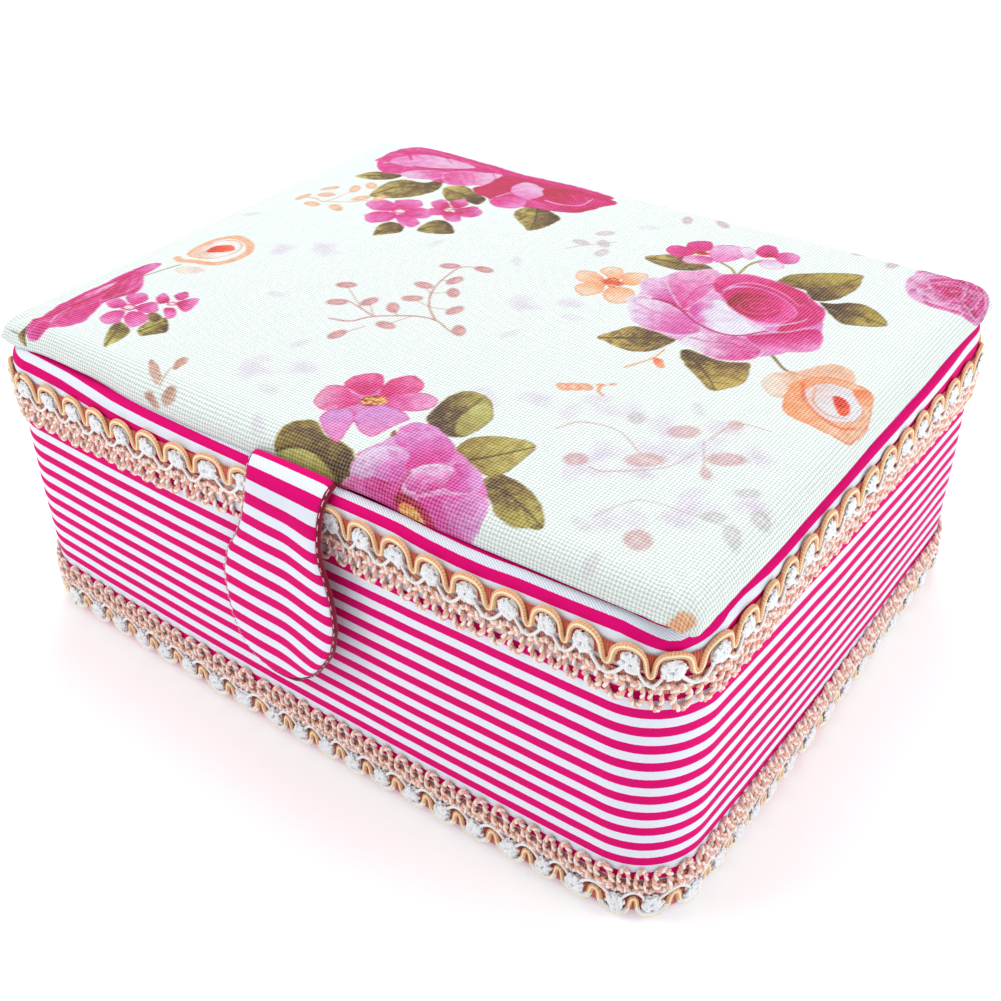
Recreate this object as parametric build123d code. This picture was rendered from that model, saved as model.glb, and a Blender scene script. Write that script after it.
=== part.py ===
from build123d import *
import os
import math

# Fabric-covered sewing box with a padded, hinged lid, a closing flap, gimp braid
# round the top and the foot of its walls, and a sliding half tray inside.
# Millimetres. +Z up, the flap is on the -Y side, +X is to the right of the flap.
# Origin: on the resting face, at the middle of the footprint.

# ---- driving dimensions -------------------------------------------------
W = 260.0            # body width over the fabric, at the corners of the walls
D = 212.0            # body depth over the fabric
R_CORNER = 21.0      # outer radius of the wall corners
BOW_FRONT = 2.1      # outward bow of the front wall
BOW_SIDE = 0.9       # outward bow of each side wall
Z_RIM = 104.0        # top of the covered rim
SHOULDER = 5.5       # the soft shoulder: how far the rim leans in, and how far below it starts

T_BOTTOM = 1.2       # bottom cover
T_WRAP = 0.6         # striped fabric
T_WAD = 3.4          # wadding under the fabric
T_CARD = 3.0         # wall card
T_LINING = 0.8       # lining fabric
GLUE = 0.08          # gap left between glued layers

BASE_Z0, BASE_Z1 = 1.9, 4.9
PAD_T = 4.0          # floor pad

BRAID_T = 2.2        # braid thickness
BRAID_W = 19.0       # braid width
UP_BRAID_Z1 = 102.0  # crest line of the upper braid
LO_BRAID_Z0 = 2.4    # crest line of the lower braid
BRAID_PRESSED = 1.0  # thickness of the braid where the flap passes over it

LID_A, LID_B = 129.0, 101.0   # half width and half depth of the covered lid
LID_Z0 = 105.0                # underside of the covered lid
LID_TOP = 112.8               # top of the padded cover
LID_R = 5.0                   # plan radius of the lid corners
LID_EDGE = 4.2                # rounding of the upper edge
T_COVER = 0.6
T_HEM = 0.45                  # cover turned under the lid board
BOARD_T = 2.5

HINGE_Y, HINGE_Z = 101.8, 105.6      # fold line of the cloth hinge at the back
FLAP_Y, FLAP_Z = -102.5, 105.7       # fold line of the flap at the front
FLAP_T = 2.1                         # flap thickness
FLAP_BACK_Y = -111.4                 # back face of the hanging part of the flap
FLAP_TIP_Z = 31.0

IN_X, IN_Y = W / 2 - 8.0, D / 2 - 8.0   # inner faces of the lining: 122 and 98

RAIL_TOP = 60.0
TRAY_L = 160.0
TRAY_D = 192.0
TRAY_Z0 = 60.35
TRAY_H = 28.0
TRAY_WALL = 2.0
TRAY_FLOOR = 2.0
TRAY_X0 = -119.0

STAY_LEN = 109.5     # between the two ends of a stay
STAY_Y, STAY_Z = 34.0, 96.5
STAY_W = 10.0
STAY_X0, STAY_X1 = 119.3, 120.0      # plane of each stay ribbon
TAB_X0, TAB_X1 = 118.1, 118.9        # plane of each lid tab
TAB_Y, TAB_Z = 33.8, 97.6            # where a stay is sewn to its tab, lid shut

os.makedirs("parts", exist_ok=True)


# ---- helpers ------------------------------------------------------------
def outline(inset, bow=True):
    """Closed outline of the walls, moved in by inset: four slightly bowed sides and round corners."""
    a, b, r = W / 2 - inset, D / 2 - inset, max(R_CORNER - inset, 1.0)
    cx, cy = W / 2 - R_CORNER, D / 2 - R_CORNER
    bf = BOW_FRONT if bow else 0.0
    bs = BOW_SIDE if bow else 0.0
    k = math.sqrt(0.5)
    edges = [
        ThreePointArc((-cx, -b), (0, -b - bf), (cx, -b)),
        ThreePointArc((cx, -b), (cx + r * k, -cy - r * k), (a, -cy)),
        ThreePointArc((a, -cy), (a + bs, 0), (a, cy)),
        ThreePointArc((a, cy), (cx + r * k, cy + r * k), (cx, b)),
        Line((cx, b), (-cx, b)),
        ThreePointArc((-cx, b), (-cx - r * k, cy + r * k), (-a, cy)),
        ThreePointArc((-a, cy), (-a - bs, 0), (-a, -cy)),
        ThreePointArc((-a, -cy), (-cx - r * k, -cy - r * k), (-cx, -b)),
    ]
    return make_face(edges)


def prism(face, z0, z1):
    return Pos(0, 0, z0) * extrude(face, z1 - z0, dir=(0, 0, 1))


def ring(i0, i1, z0, z1):
    """Wall ring between two insets."""
    return prism(outline(i0), z0, z1) - prism(outline(i1), z0 - 1, z1 + 1)


def box(x0, x1, y0, y1, z0, z1):
    return Pos((x0 + x1) / 2, (y0 + y1) / 2, (z0 + z1) / 2) * Box(x1 - x0, y1 - y0, z1 - z0)


def rrect(x0, x1, y0, y1, z0, z1, r):
    f = RectangleRounded(x1 - x0, y1 - y0, r)
    return Pos((x0 + x1) / 2, (y0 + y1) / 2, z0) * extrude(f, z1 - z0, dir=(0, 0, 1))


def yz_prism(pts, x0, x1):
    """Prism along X of a polygon given as (y, z) points."""
    wire = Polyline(*[(x0, y, z) for y, z in pts], close=True)
    return extrude(make_face(wire), x1 - x0, dir=(1, 0, 0))


def chamfered_top(solid, amount, z):
    """Bevels the outer rim edges that lie at height z."""
    es = [e for e in solid.edges() if abs(e.bounding_box().min.Z - z) < 1e-3 and abs(e.bounding_box().max.Z - z) < 1e-3]
    return chamfer(es, amount)


def wall_block(inset, z0, z_top, cut):
    """Solid block inside the outline at that inset, with the shoulder cut off its top."""
    return chamfered_top(prism(outline(inset), z0, z_top), cut, z_top)


def lid_form(inset, z0, z_top, edge):
    """Closed form of the padded lid: rounded plan and rounded upper edge."""
    a, b, r = LID_A - inset, LID_B - inset, max(LID_R - inset, 1.0)
    slab = rrect(-a, a, -b, b, z0, z_top, r)
    return fillet(slab.edges().group_by(Axis.Z)[-1], edge)


def flap_centre(z):
    """The flap hangs a little to the left as it goes down."""
    return -1.0 + 0.155 * (min(z, 104.0) - 31.0)


FLAP_WIDTH = [(109.0, 30.0), (104.0, 30.0), (95.0, 30.5), (88.0, 31.5), (80.0, 35.5), (73.0, 41.0),
              (66.0, 45.0), (58.0, 46.5), (50.0, 44.5), (42.0, 37.5), (36.0, 27.5), (32.6, 15.0)]


def flap_outline(inset):
    left = [(flap_centre(z) - w / 2 + inset, z) for z, w in FLAP_WIDTH]
    right = [(flap_centre(z) + w / 2 - inset, z) for z, w in FLAP_WIDTH]
    tip = (flap_centre(FLAP_TIP_Z), FLAP_TIP_Z + inset)
    path = left + [tip] + right[::-1]
    e = Spline(*[(x, 0, z) for x, z in path])
    top = Line((path[-1][0], 0, path[-1][1]), (path[0][0], 0, path[0][1]))
    face = make_face([e, top])
    return Pos(0, -95.0, 0) * extrude(face, 25.0, dir=(0, -1, 0))


# mid line of the flap, from its fold at the lid's edge to its tip, as (y, z)
FLAP_MID = [(FLAP_Y, FLAP_Z), (-107.6, 105.0), (-111.0, 102.7), (-112.45, 97.2), (-112.45, 29.0)]


def offset_line(pts, d):
    """Offsets an open (y, z) polyline by d to the front (outwards from the wall)."""
    out = []
    for i, p in enumerate(pts):
        ns = []
        if i > 0:
            ty, tz = p[0] - pts[i - 1][0], p[1] - pts[i - 1][1]
            n = math.hypot(ty, tz)
            ns.append((tz / n, -ty / n))
        if i < len(pts) - 1:
            ty, tz = pts[i + 1][0] - p[0], pts[i + 1][1] - p[1]
            n = math.hypot(ty, tz)
            ns.append((tz / n, -ty / n))
        ny = sum(v[0] for v in ns) / len(ns)
        nz = sum(v[1] for v in ns) / len(ns)
        n2 = ny * ny + nz * nz
        out.append((p[0] + d * ny / n2, p[1] + d * nz / n2))
    return out


def flap_layer(d0, d1, inset):
    """A layer of the flap between offsets d0 and d1 from its mid line."""
    a, b = offset_line(FLAP_MID, d0), offset_line(FLAP_MID, d1)
    slab = yz_prism(a + b[::-1], -60, 80)
    return slab & flap_outline(inset)


def one(shape):
    """Keeps the single largest solid."""
    ss = sorted(shape.solids(), key=lambda s: s.volume)
    return ss[-1]


nodes = {}

# ---- body ---------------------------------------------------------------
nodes["bottom_cover"] = prism(outline(3.0), 0, T_BOTTOM)

i_wrap = T_WRAP                       # inner face of the striped fabric
i_wad0, i_wad1 = i_wrap + GLUE, i_wrap + GLUE + T_WAD
i_card0, i_card1 = i_wad1 + GLUE, i_wad1 + GLUE + T_CARD
i_lin0, i_lin1 = i_card1 + GLUE, 8.0

# striped fabric: up the wall, over the shoulder and rim, 10 mm down inside, and turned under the base
wrap_outer = wall_block(0.0, T_BOTTOM + GLUE, Z_RIM, SHOULDER)
wrap_cut = wall_block(i_wrap, T_BOTTOM + GLUE + 0.5, Z_RIM - T_WRAP, SHOULDER - 0.35)
inner_hole = prism(outline(i_lin1), 0, 200)
wrap = wrap_outer - wrap_cut - prism(outline(16.0), 0, 10)
wrap = wrap - inner_hole.intersect(box(-200, 200, -200, 200, 50, 200))
wrap_turn = ring(i_lin1 - 0.6, i_lin1, Z_RIM - 10.0, Z_RIM - T_WRAP)
nodes["outer_wrap"] = one(wrap + wrap_turn)

# wadding and card
wad = wall_block(i_wad0, T_BOTTOM + 0.8, Z_RIM - T_WRAP - GLUE, SHOULDER - 0.5) - prism(outline(i_wad1), 0, 200)
nodes["wall_wadding"] = one(wad)
nodes["wall_hoop"] = one(wall_block(i_card0, T_BOTTOM + 0.8, Z_RIM - T_WRAP - GLUE, 1.6) - prism(outline(i_card1), 0, 200))

nodes["base_board"] = prism(outline(i_card1 + GLUE), BASE_Z0, BASE_Z1)
nodes["wall_lining"] = one(ring(i_lin0, i_lin1, BASE_Z1 + GLUE, Z_RIM - 10.1))
pad = prism(outline(i_lin1 + 0.15), BASE_Z1 + GLUE, BASE_Z1 + GLUE + PAD_T)
top_edges = pad.edges().group_by(Axis.Z)[-1]
nodes["floor_pad"] = fillet(top_edges, 1.6)

# braids: one closed band each, pressed flat where the flap passes
def braid(z0, z1, off):
    return prism(outline(-BRAID_T - off), z0, z1) - prism(outline(-off), z0 - 1, z1 + 1)


up = braid(UP_BRAID_Z1 - BRAID_W, UP_BRAID_Z1, 0.05)
press = box(-24, 34, -130, -(D / 2 + BOW_FRONT + 0.05 + BRAID_PRESSED), UP_BRAID_Z1 - BRAID_W - 1, UP_BRAID_Z1 + 1)
nodes["upper_braid"] = one(up - press)
nodes["lower_braid"] = one(braid(LO_BRAID_Z0, LO_BRAID_Z0 + BRAID_W, 0.05))

# rails for the tray, glued to the lining
nodes["tray_rail_front"] = box(-108, 108, -IN_Y + 0.1, -IN_Y + 6.1, RAIL_TOP - 4, RAIL_TOP)
nodes["tray_rail_back"] = box(-108, 108, IN_Y - 6.1, IN_Y - 0.1, RAIL_TOP - 4, RAIL_TOP)

# snap: flat disc halves under the flap
SNAP_X, SNAP_Z, SNAP_R = flap_centre(50.0), 50.0, 7.0
wall_y = -(D / 2 + BOW_FRONT)
nodes["snap_socket"] = Pos(SNAP_X, wall_y - 0.05 - 0.8, SNAP_Z) * Rot(90, 0, 0) * Cylinder(SNAP_R, 1.6)
nodes["snap_stud"] = Pos(SNAP_X, FLAP_BACK_Y + 0.05 + 0.55, SNAP_Z) * Rot(90, 0, 0) * Cylinder(SNAP_R - 0.5, 1.1)

# cloth hinge, body half: lies on the shoulder and the back wall
k = math.sqrt(0.5)
HX = W / 2 - R_CORNER - 1.0
s0 = (101.0 + 1.6, Z_RIM - 1.6)       # top end, on the shoulder
s1 = (D / 2, Z_RIM - SHOULDER + 0.5)  # where the shoulder meets the wall
# (the strip stops above the braid)
g, tc = 0.06, 0.5
nodes["hinge_cloth_body"] = yz_prism([
    (s0[0] + g * k, s0[1] + g * k), (s1[0] - 0.5 + g * k, s1[1] + g * k),
    (s1[0] - 0.5 + (g + tc) * k, s1[1] + (g + tc) * k), (s0[0] + (g + tc) * k, s0[1] + (g + tc) * k)], -HX, HX)

# eyelets for the stays, on the lining
eyelets = []
for s in (-1, 1):
    # from 0.3 mm outside the stay to the lining, which bows out here
    e0, e1 = STAY_X1 + 0.3, IN_X + BOW_SIDE * (1 - (STAY_Y / (D / 2 - R_CORNER)) ** 2) - 0.05
    eyelets.append(Pos(s * (e0 + e1) / 2, STAY_Y, STAY_Z) * Rot(0, 90, 0) * Cylinder(3.2, e1 - e0))
nodes["stay_anchors"] = Compound(children=eyelets)

# ---- lid ----------------------------------------------------------------
z_b0 = LID_Z0 + T_HEM + GLUE
nodes["lid_board"] = rrect(-(LID_A - T_COVER - GLUE - 0.6), LID_A - T_COVER - GLUE - 0.6,
                           -(LID_B - T_COVER - GLUE - 0.6), LID_B - T_COVER - GLUE - 0.6, z_b0, z_b0 + BOARD_T, 4.0)
pad_z0 = z_b0 + BOARD_T + GLUE
nodes["lid_pad"] = one(lid_form(T_COVER + GLUE, pad_z0, LID_TOP - T_COVER - GLUE, LID_EDGE - 0.6))
cover_out = lid_form(0.0, LID_Z0, LID_TOP, LID_EDGE)
cover_in = lid_form(T_COVER, LID_Z0 + T_HEM, LID_TOP - T_COVER, LID_EDGE - 0.55)
hem_hole = rrect(-(LID_A - 17), LID_A - 17, -(LID_B - 14), LID_B - 14, LID_Z0 - 2, LID_Z0 + T_HEM + 0.2, 3.0)
nodes["lid_cover"] = one(cover_out - cover_in - hem_hole)

# covered card inside the lid; it drops into the mouth of the body when the lid is shut
PAN_X, PAN_Y, PAN_T = 116.5, 92.0, 3.2
panel = rrect(-PAN_X, PAN_X, -PAN_Y, PAN_Y, LID_Z0 - PAN_T - 0.05, LID_Z0 - 0.05, 8.0)
panel = fillet(panel.edges().group_by(Axis.Z)[0], 1.2)
ANC_X, ANC_Z0, ANC_Z1 = flap_centre(104), LID_Z0 - 0.55, LID_Z0 - 0.05   # the flap's tongue under the lid
nodes["lid_lining_panel"] = one(panel - box(ANC_X - 14.2, ANC_X + 14.2, -PAN_Y - 1, -74.8, ANC_Z0 - 0.05, LID_Z0))
z_p = LID_Z0 - PAN_T - 0.05
pocket = rrect(-100, 4, -70, 20, z_p - 0.06 - 1.6, z_p - 0.06, 6.0)
nodes["lid_pocket"] = fillet(pocket.edges().group_by(Axis.Z)[0], 0.7)
pc = rrect(28, 98, -66, -14, z_p - 0.06 - 9.5, z_p - 0.06, 12.0)
nodes["pin_cushion"] = fillet(pc.edges().group_by(Axis.Z)[0], 4.5)
nodes["hinge_cloth_lid"] = box(-HX, HX, LID_B + 0.05, LID_B + 0.5, LID_Z0 + 1.5, LID_Z0 + 4.6)
nodes["flap_anchor"] = box(ANC_X - 14, ANC_X + 14, -LID_B - 0.2, -75.0, ANC_Z0, ANC_Z1)

tabs = []
for s in (-1, 1):
    x0, x1 = sorted((s * TAB_X0, s * TAB_X1))
    t = box(x0, x1, TAB_Y - 5, TAB_Y + 5, TAB_Z, LID_Z0 - 0.05) + Pos((x0 + x1) / 2, TAB_Y, TAB_Z) * Rot(0, 90, 0) * Cylinder(5.0, x1 - x0)
    tabs.append(t)
nodes["stay_tabs"] = Compound(children=tabs)

# ---- flap ---------------------------------------------------------------
h = FLAP_T / 2
root = [(FLAP_Y, FLAP_Z)]
nodes["flap_front"] = one(flap_layer(h - 0.55, h, 0.0))
nodes["flap_stiffener"] = one(flap_layer(-h + 0.55, h - 0.6, 1.6) - box(-60, 80, -104.5, -95, 90, 120))
nodes["flap_back"] = one(flap_layer(-h, -h + 0.5, 0.3))

# ---- tray ---------------------------------------------------------------
tx0, tx1 = TRAY_X0, TRAY_X0 + TRAY_L
ty = TRAY_D / 2
tz0, tz1 = TRAY_Z0, TRAY_Z0 + TRAY_H
shell = rrect(tx0, tx1, -ty, ty, tz0, tz1, 6.0) - rrect(tx0 + TRAY_WALL, tx1 - TRAY_WALL, -ty + TRAY_WALL, ty - TRAY_WALL, tz0 + TRAY_FLOOR, tz1 + 1, 4.2)
nodes["tray_body"] = one(shell)
ix0, ix1, iy = tx0 + TRAY_WALL, tx1 - TRAY_WALL, ty - TRAY_WALL
felt_z = tz0 + TRAY_FLOOR + 0.05
nodes["tray_lining"] = rrect(ix0 + 0.2, ix1 - 0.2, -iy + 0.2, iy - 0.2, felt_z, felt_z + 1.0, 4.0)
dv_z0, dv_z1 = felt_z + 1.05, tz1 - 2.0
DIV_X = ix0 + 92.0
nodes["tray_divider_long"] = box(DIV_X - 1.0, DIV_X + 1.0, -iy + 0.15, iy - 0.15, dv_z0, dv_z1)
nodes["tray_dividers_cross"] = Compound(children=[
    box(ix0 + 0.15, DIV_X - 1.1, 18.0, 20.0, dv_z0, dv_z1),
    box(DIV_X + 1.1, ix1 - 0.15, -32.0, -30.0, dv_z0, dv_z1)])
mid = (tx0 + tx1) / 2
rib = []
for s in (-1, 1):
    # a ribbon loop glued inside the front and the back wall, standing a little proud of the tray's edge
    y_in = s * (iy - 0.1)
    y_out = s * (iy - 0.7)
    ya, yb = sorted((y_in, y_out))
    rib.append(box(mid - 36, mid - 24, ya, yb, tz1 - 14, tz1 + 3.0))
nodes["tray_pull_ribbons"] = Compound(children=rib)

# ---- stays --------------------------------------------------------------
for side, s in (("left", -1), ("right", 1)):
    x0, x1 = sorted((s * STAY_X0, s * STAY_X1))
    strap = box(x0, x1, STAY_Y - STAY_LEN, STAY_Y, STAY_Z - STAY_W / 2, STAY_Z + STAY_W / 2)
    for yy in (STAY_Y - STAY_LEN, STAY_Y):
        strap = strap + Pos((x0 + x1) / 2, yy, STAY_Z) * Rot(0, 90, 0) * Cylinder(STAY_W / 2, x1 - x0)
    nodes["stay_" + side] = one(strap)

# ---- write --------------------------------------------------------------
for name, shape in nodes.items():
    vol = sum(s.volume for s in shape.solids())
    print(f"{name:22s} solids {len(shape.solids())} volume {vol:10.1f}")
    export_step(shape, f"parts/{name}.step")

open_y = HINGE_Y + (TAB_Y - HINGE_Y) * math.cos(math.radians(105)) + (TAB_Z - HINGE_Z) * math.sin(math.radians(105))
open_z = HINGE_Z - (TAB_Y - HINGE_Y) * math.sin(math.radians(105)) + (TAB_Z - HINGE_Z) * math.cos(math.radians(105))
print("lid tab at 105 degrees", round(open_y, 2), round(open_z, 2), "from the eyelet", round(math.hypot(open_y - STAY_Y, open_z - STAY_Z), 2),
      "stay turn", round(180 - math.degrees(math.atan2(open_z - STAY_Z, open_y - STAY_Y)), 2))
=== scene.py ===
import bpy
import math
import numpy as np
from mathutils import Matrix, Vector


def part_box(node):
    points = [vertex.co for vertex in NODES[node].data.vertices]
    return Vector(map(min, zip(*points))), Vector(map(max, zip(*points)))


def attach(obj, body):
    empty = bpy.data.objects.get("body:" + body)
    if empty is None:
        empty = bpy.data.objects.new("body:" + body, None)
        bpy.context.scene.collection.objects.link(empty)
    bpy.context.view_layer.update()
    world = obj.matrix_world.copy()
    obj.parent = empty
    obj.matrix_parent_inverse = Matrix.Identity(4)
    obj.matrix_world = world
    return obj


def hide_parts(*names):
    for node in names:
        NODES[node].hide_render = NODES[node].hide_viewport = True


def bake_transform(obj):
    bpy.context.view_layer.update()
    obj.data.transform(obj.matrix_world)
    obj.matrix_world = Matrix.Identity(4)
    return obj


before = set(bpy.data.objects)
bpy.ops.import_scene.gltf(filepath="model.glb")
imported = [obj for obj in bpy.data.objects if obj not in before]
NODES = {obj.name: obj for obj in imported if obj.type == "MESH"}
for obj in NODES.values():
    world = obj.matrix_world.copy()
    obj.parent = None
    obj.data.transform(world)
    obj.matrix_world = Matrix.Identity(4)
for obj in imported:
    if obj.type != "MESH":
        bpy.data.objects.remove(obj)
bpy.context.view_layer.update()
scene = bpy.context.scene

# =====================================================================
# Camera
# =====================================================================
AZ, EL, ROLL = math.radians(38.4836), math.radians(34.5290), math.radians(-2.0114)
EYE = Vector((0.224967, -0.307362, 0.304059))
F_PX, CX, CY, N_PX = 1299.133, 454.170, 477.806, 1001.0
back = Vector((math.sin(AZ) * math.cos(EL), -math.cos(AZ) * math.cos(EL), math.sin(EL)))
right0 = Vector((math.cos(AZ), math.sin(AZ), 0))
up0 = back.cross(right0)
right = math.cos(ROLL) * right0 + math.sin(ROLL) * up0
up = -math.sin(ROLL) * right0 + math.cos(ROLL) * up0
cam_data = bpy.data.cameras.new("camera")
cam = bpy.data.objects.new("camera", cam_data)
scene.collection.objects.link(cam)
cam.matrix_world = Matrix(((right.x, up.x, back.x, EYE.x), (right.y, up.y, back.y, EYE.y), (right.z, up.z, back.z, EYE.z), (0, 0, 0, 1)))
cam_data.sensor_fit = "HORIZONTAL"
cam_data.sensor_width = 36.0
cam_data.lens = 36.0 * F_PX / N_PX
cam_data.shift_x = (N_PX / 2 - CX) / N_PX
cam_data.shift_y = (CY - N_PX / 2) / N_PX
cam_data.clip_start, cam_data.clip_end = 0.01, 50.0
scene.camera = cam

# =====================================================================
# Small helpers
# =====================================================================
RNG = np.random.default_rng(7)


def smooth(a, b, x):
    t = np.clip((np.asarray(x, float) - a) / (b - a), 0, 1)
    return t * t * (3 - 2 * t)


def lin(c):
    """sRGB 0-255 to linear."""
    c = np.asarray(c, float) / 255.0
    return np.where(c <= 0.04045, c / 12.92, ((c + 0.055) / 1.055) ** 2.4)


def rgba(r, g, b):
    v = lin([r, g, b])
    return (float(v[0]), float(v[1]), float(v[2]), 1.0)


def new_mesh(name, verts, faces, attrs=None, colors=None, smooth_shade=True):
    """verts in millimetres; faces a list or an (n, 4) array of quads; attrs are per-vertex floats."""
    me = bpy.data.meshes.new(name)
    verts = np.asarray(verts, np.float64) / 1000.0
    if isinstance(faces, np.ndarray):
        n, k = faces.shape
        me.vertices.add(len(verts))
        me.vertices.foreach_set("co", verts.astype(np.float32).ravel())
        me.loops.add(n * k)
        me.loops.foreach_set("vertex_index", faces.astype(np.int32).ravel())
        me.polygons.add(n)
        me.polygons.foreach_set("loop_start", np.arange(0, n * k, k, dtype=np.int32))
        me.update(calc_edges=True)
    else:
        me.from_pydata([tuple(v) for v in verts], [], faces)
    me.validate()
    for key, values in (attrs or {}).items():
        a = me.attributes.new(key, "FLOAT", "POINT")
        a.data.foreach_set("value", np.asarray(values, np.float32).ravel())
    for key, values in (colors or {}).items():
        a = me.attributes.new(key, "FLOAT_COLOR", "POINT")
        v = np.ones((len(verts), 4), np.float32)
        v[:, :3] = values
        a.data.foreach_set("color", v.ravel())
    if smooth_shade:
        me.polygons.foreach_set("use_smooth", np.ones(len(me.polygons), bool))
    me.update()
    ob = bpy.data.objects.new(name, me)
    scene.collection.objects.link(ob)
    return ob


def grid_faces(nu, nv, wrap_u=False, flip=False):
    """Quads of a grid whose vertex (i, j) has index i * nv + j."""
    iu = np.arange(nu if wrap_u else nu - 1)
    jv = np.arange(nv - 1)
    i, j = np.meshgrid(iu, jv, indexing="ij")
    i2 = (i + 1) % nu
    f = np.stack([i * nv + j, i2 * nv + j, i2 * nv + j + 1, i * nv + j + 1], -1).reshape(-1, 4)
    return f[:, ::-1] if flip else f


def noise2(x, y, scale, seed):
    """Smooth value noise, -1..1, seeded."""
    r = np.random.default_rng(seed).uniform(-1, 1, (257, 257))
    u, v = np.asarray(x) / scale + 1000.0, np.asarray(y) / scale + 1000.0
    iu, iv = np.floor(u).astype(int), np.floor(v).astype(int)
    fu, fv = u - iu, v - iv
    fu, fv = fu * fu * (3 - 2 * fu), fv * fv * (3 - 2 * fv)
    a, b = r[iu % 257, iv % 257], r[(iu + 1) % 257, iv % 257]
    c, d = r[iu % 257, (iv + 1) % 257], r[(iu + 1) % 257, (iv + 1) % 257]
    return (a * (1 - fu) + b * fu) * (1 - fv) + (c * (1 - fu) + d * fu) * fv


# =====================================================================
# Materials
# =====================================================================
class M:
    """A node material with short helpers. Constants that are the same all over sit on the shader's own sockets."""

    def __init__(self, name, color=None, rough=0.85, spec=0.25, sheen=0.0, metallic=0.0):
        self.m = bpy.data.materials.new(name)
        self.m.use_nodes = True
        self.nt = self.m.node_tree
        self.b = self.nt.nodes["Principled BSDF"]
        self.b.inputs["Roughness"].default_value = rough
        self.b.inputs["Specular IOR Level"].default_value = spec
        self.b.inputs["Metallic"].default_value = metallic
        if sheen:
            self.b.inputs["Sheen Weight"].default_value = sheen
            self.b.inputs["Sheen Roughness"].default_value = 0.5
        if color:
            self.b.inputs["Base Color"].default_value = color

    def put(self, socket, value):
        if isinstance(value, bpy.types.NodeSocket):
            self.nt.links.new(value, socket)
        elif value is not None:
            socket.default_value = value

    def math(self, op, a, b=None, c=None, clamp=False):
        n = self.nt.nodes.new("ShaderNodeMath")
        n.operation = op
        n.use_clamp = clamp
        for i, v in enumerate((a, b, c)):
            if v is not None:
                self.put(n.inputs[i], v)
        return n.outputs[0]

    def attr(self, name, out="Fac"):
        n = self.nt.nodes.new("ShaderNodeAttribute")
        n.attribute_name = name
        return n.outputs[out]

    def pos(self):
        return self.nt.nodes.new("ShaderNodeTexCoord").outputs["Object"]

    def sep(self, vec):
        n = self.nt.nodes.new("ShaderNodeSeparateXYZ")
        self.put(n.inputs[0], vec)
        return n.outputs

    def comb(self, x=0.0, y=0.0, z=0.0):
        n = self.nt.nodes.new("ShaderNodeCombineXYZ")
        for i, v in enumerate((x, y, z)):
            self.put(n.inputs[i], v)
        return n.outputs[0]

    def noise(self, vec, scale, detail=2.0, rough=0.5):
        n = self.nt.nodes.new("ShaderNodeTexNoise")
        self.put(n.inputs["Vector"], vec)
        n.inputs["Scale"].default_value = scale
        n.inputs["Detail"].default_value = detail
        n.inputs["Roughness"].default_value = rough
        return n.outputs["Fac"]

    def mix(self, fac, a, b, blend="MIX"):
        n = self.nt.nodes.new("ShaderNodeMix")
        n.data_type = "RGBA"
        n.blend_type = blend
        self.put(n.inputs[0], fac)
        self.put(n.inputs[6], a)
        self.put(n.inputs[7], b)
        return n.outputs[2]

    def ramp(self, fac, stops, ease="LINEAR"):
        n = self.nt.nodes.new("ShaderNodeValToRGB")
        n.color_ramp.interpolation = ease
        e = n.color_ramp.elements
        while len(e) < len(stops):
            e.new(0.5)
        for k, (p, c) in enumerate(stops):
            e[k].position = p
            e[k].color = c if len(c) == 4 else (c[0], c[1], c[2], 1)
        self.put(n.inputs[0], fac)
        return n.outputs[0]

    def step(self, x, a, b):
        """Smooth 0..1 between a and b."""
        n = self.nt.nodes.new("ShaderNodeMapRange")
        n.interpolation_type = "SMOOTHSTEP"
        self.put(n.inputs[0], x)
        n.inputs[1].default_value = a
        n.inputs[2].default_value = b
        return n.outputs[0]

    def lerp(self, x, a, b, c, d):
        n = self.nt.nodes.new("ShaderNodeMapRange")
        self.put(n.inputs[0], x)
        for i, v in enumerate((a, b, c, d)):
            n.inputs[1 + i].default_value = v
        return n.outputs[0]

    def bump(self, height, dist_mm, strength=1.0, after=None):
        n = self.nt.nodes.new("ShaderNodeBump")
        n.inputs["Strength"].default_value = strength
        n.inputs["Distance"].default_value = dist_mm / 1000.0
        self.put(n.inputs["Height"], height)
        if after is not None:
            self.put(n.inputs["Normal"], after)
        return n.outputs[0]

    def set(self, color=None, normal=None, rough=None):
        if color is not None:
            self.put(self.b.inputs["Base Color"], color)
        if normal is not None:
            self.put(self.b.inputs["Normal"], normal)
        if rough is not None:
            self.put(self.b.inputs["Roughness"], rough)
        return self.m

    def plain_weave(self, u, v, pitch):
        """Height 0..1 of a plain weave, u and v in mm."""
        k = math.pi / pitch
        su = self.math("SINE", self.math("MULTIPLY", u, k))
        sv = self.math("SINE", self.math("MULTIPLY", v, k))
        au, av = self.math("ABSOLUTE", su), self.math("ABSOLUTE", sv)
        par = self.math("MULTIPLY", self.math("SIGN", su), self.math("SIGN", sv))
        # parity of the crossing decides which thread is on top
        hu = self.math("MULTIPLY", au, self.math("ADD", 0.58, self.math("MULTIPLY", 0.42, self.math("MULTIPLY", par, av))))
        hv = self.math("MULTIPLY", av, self.math("SUBTRACT", 0.58, self.math("MULTIPLY", 0.42, self.math("MULTIPLY", par, au))))
        return self.math("MAXIMUM", hu, hv)


STRIPE_PITCH, STRIPE_TOP, STRIPE_SHARE = 6.009, 79.91, 0.52


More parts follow.
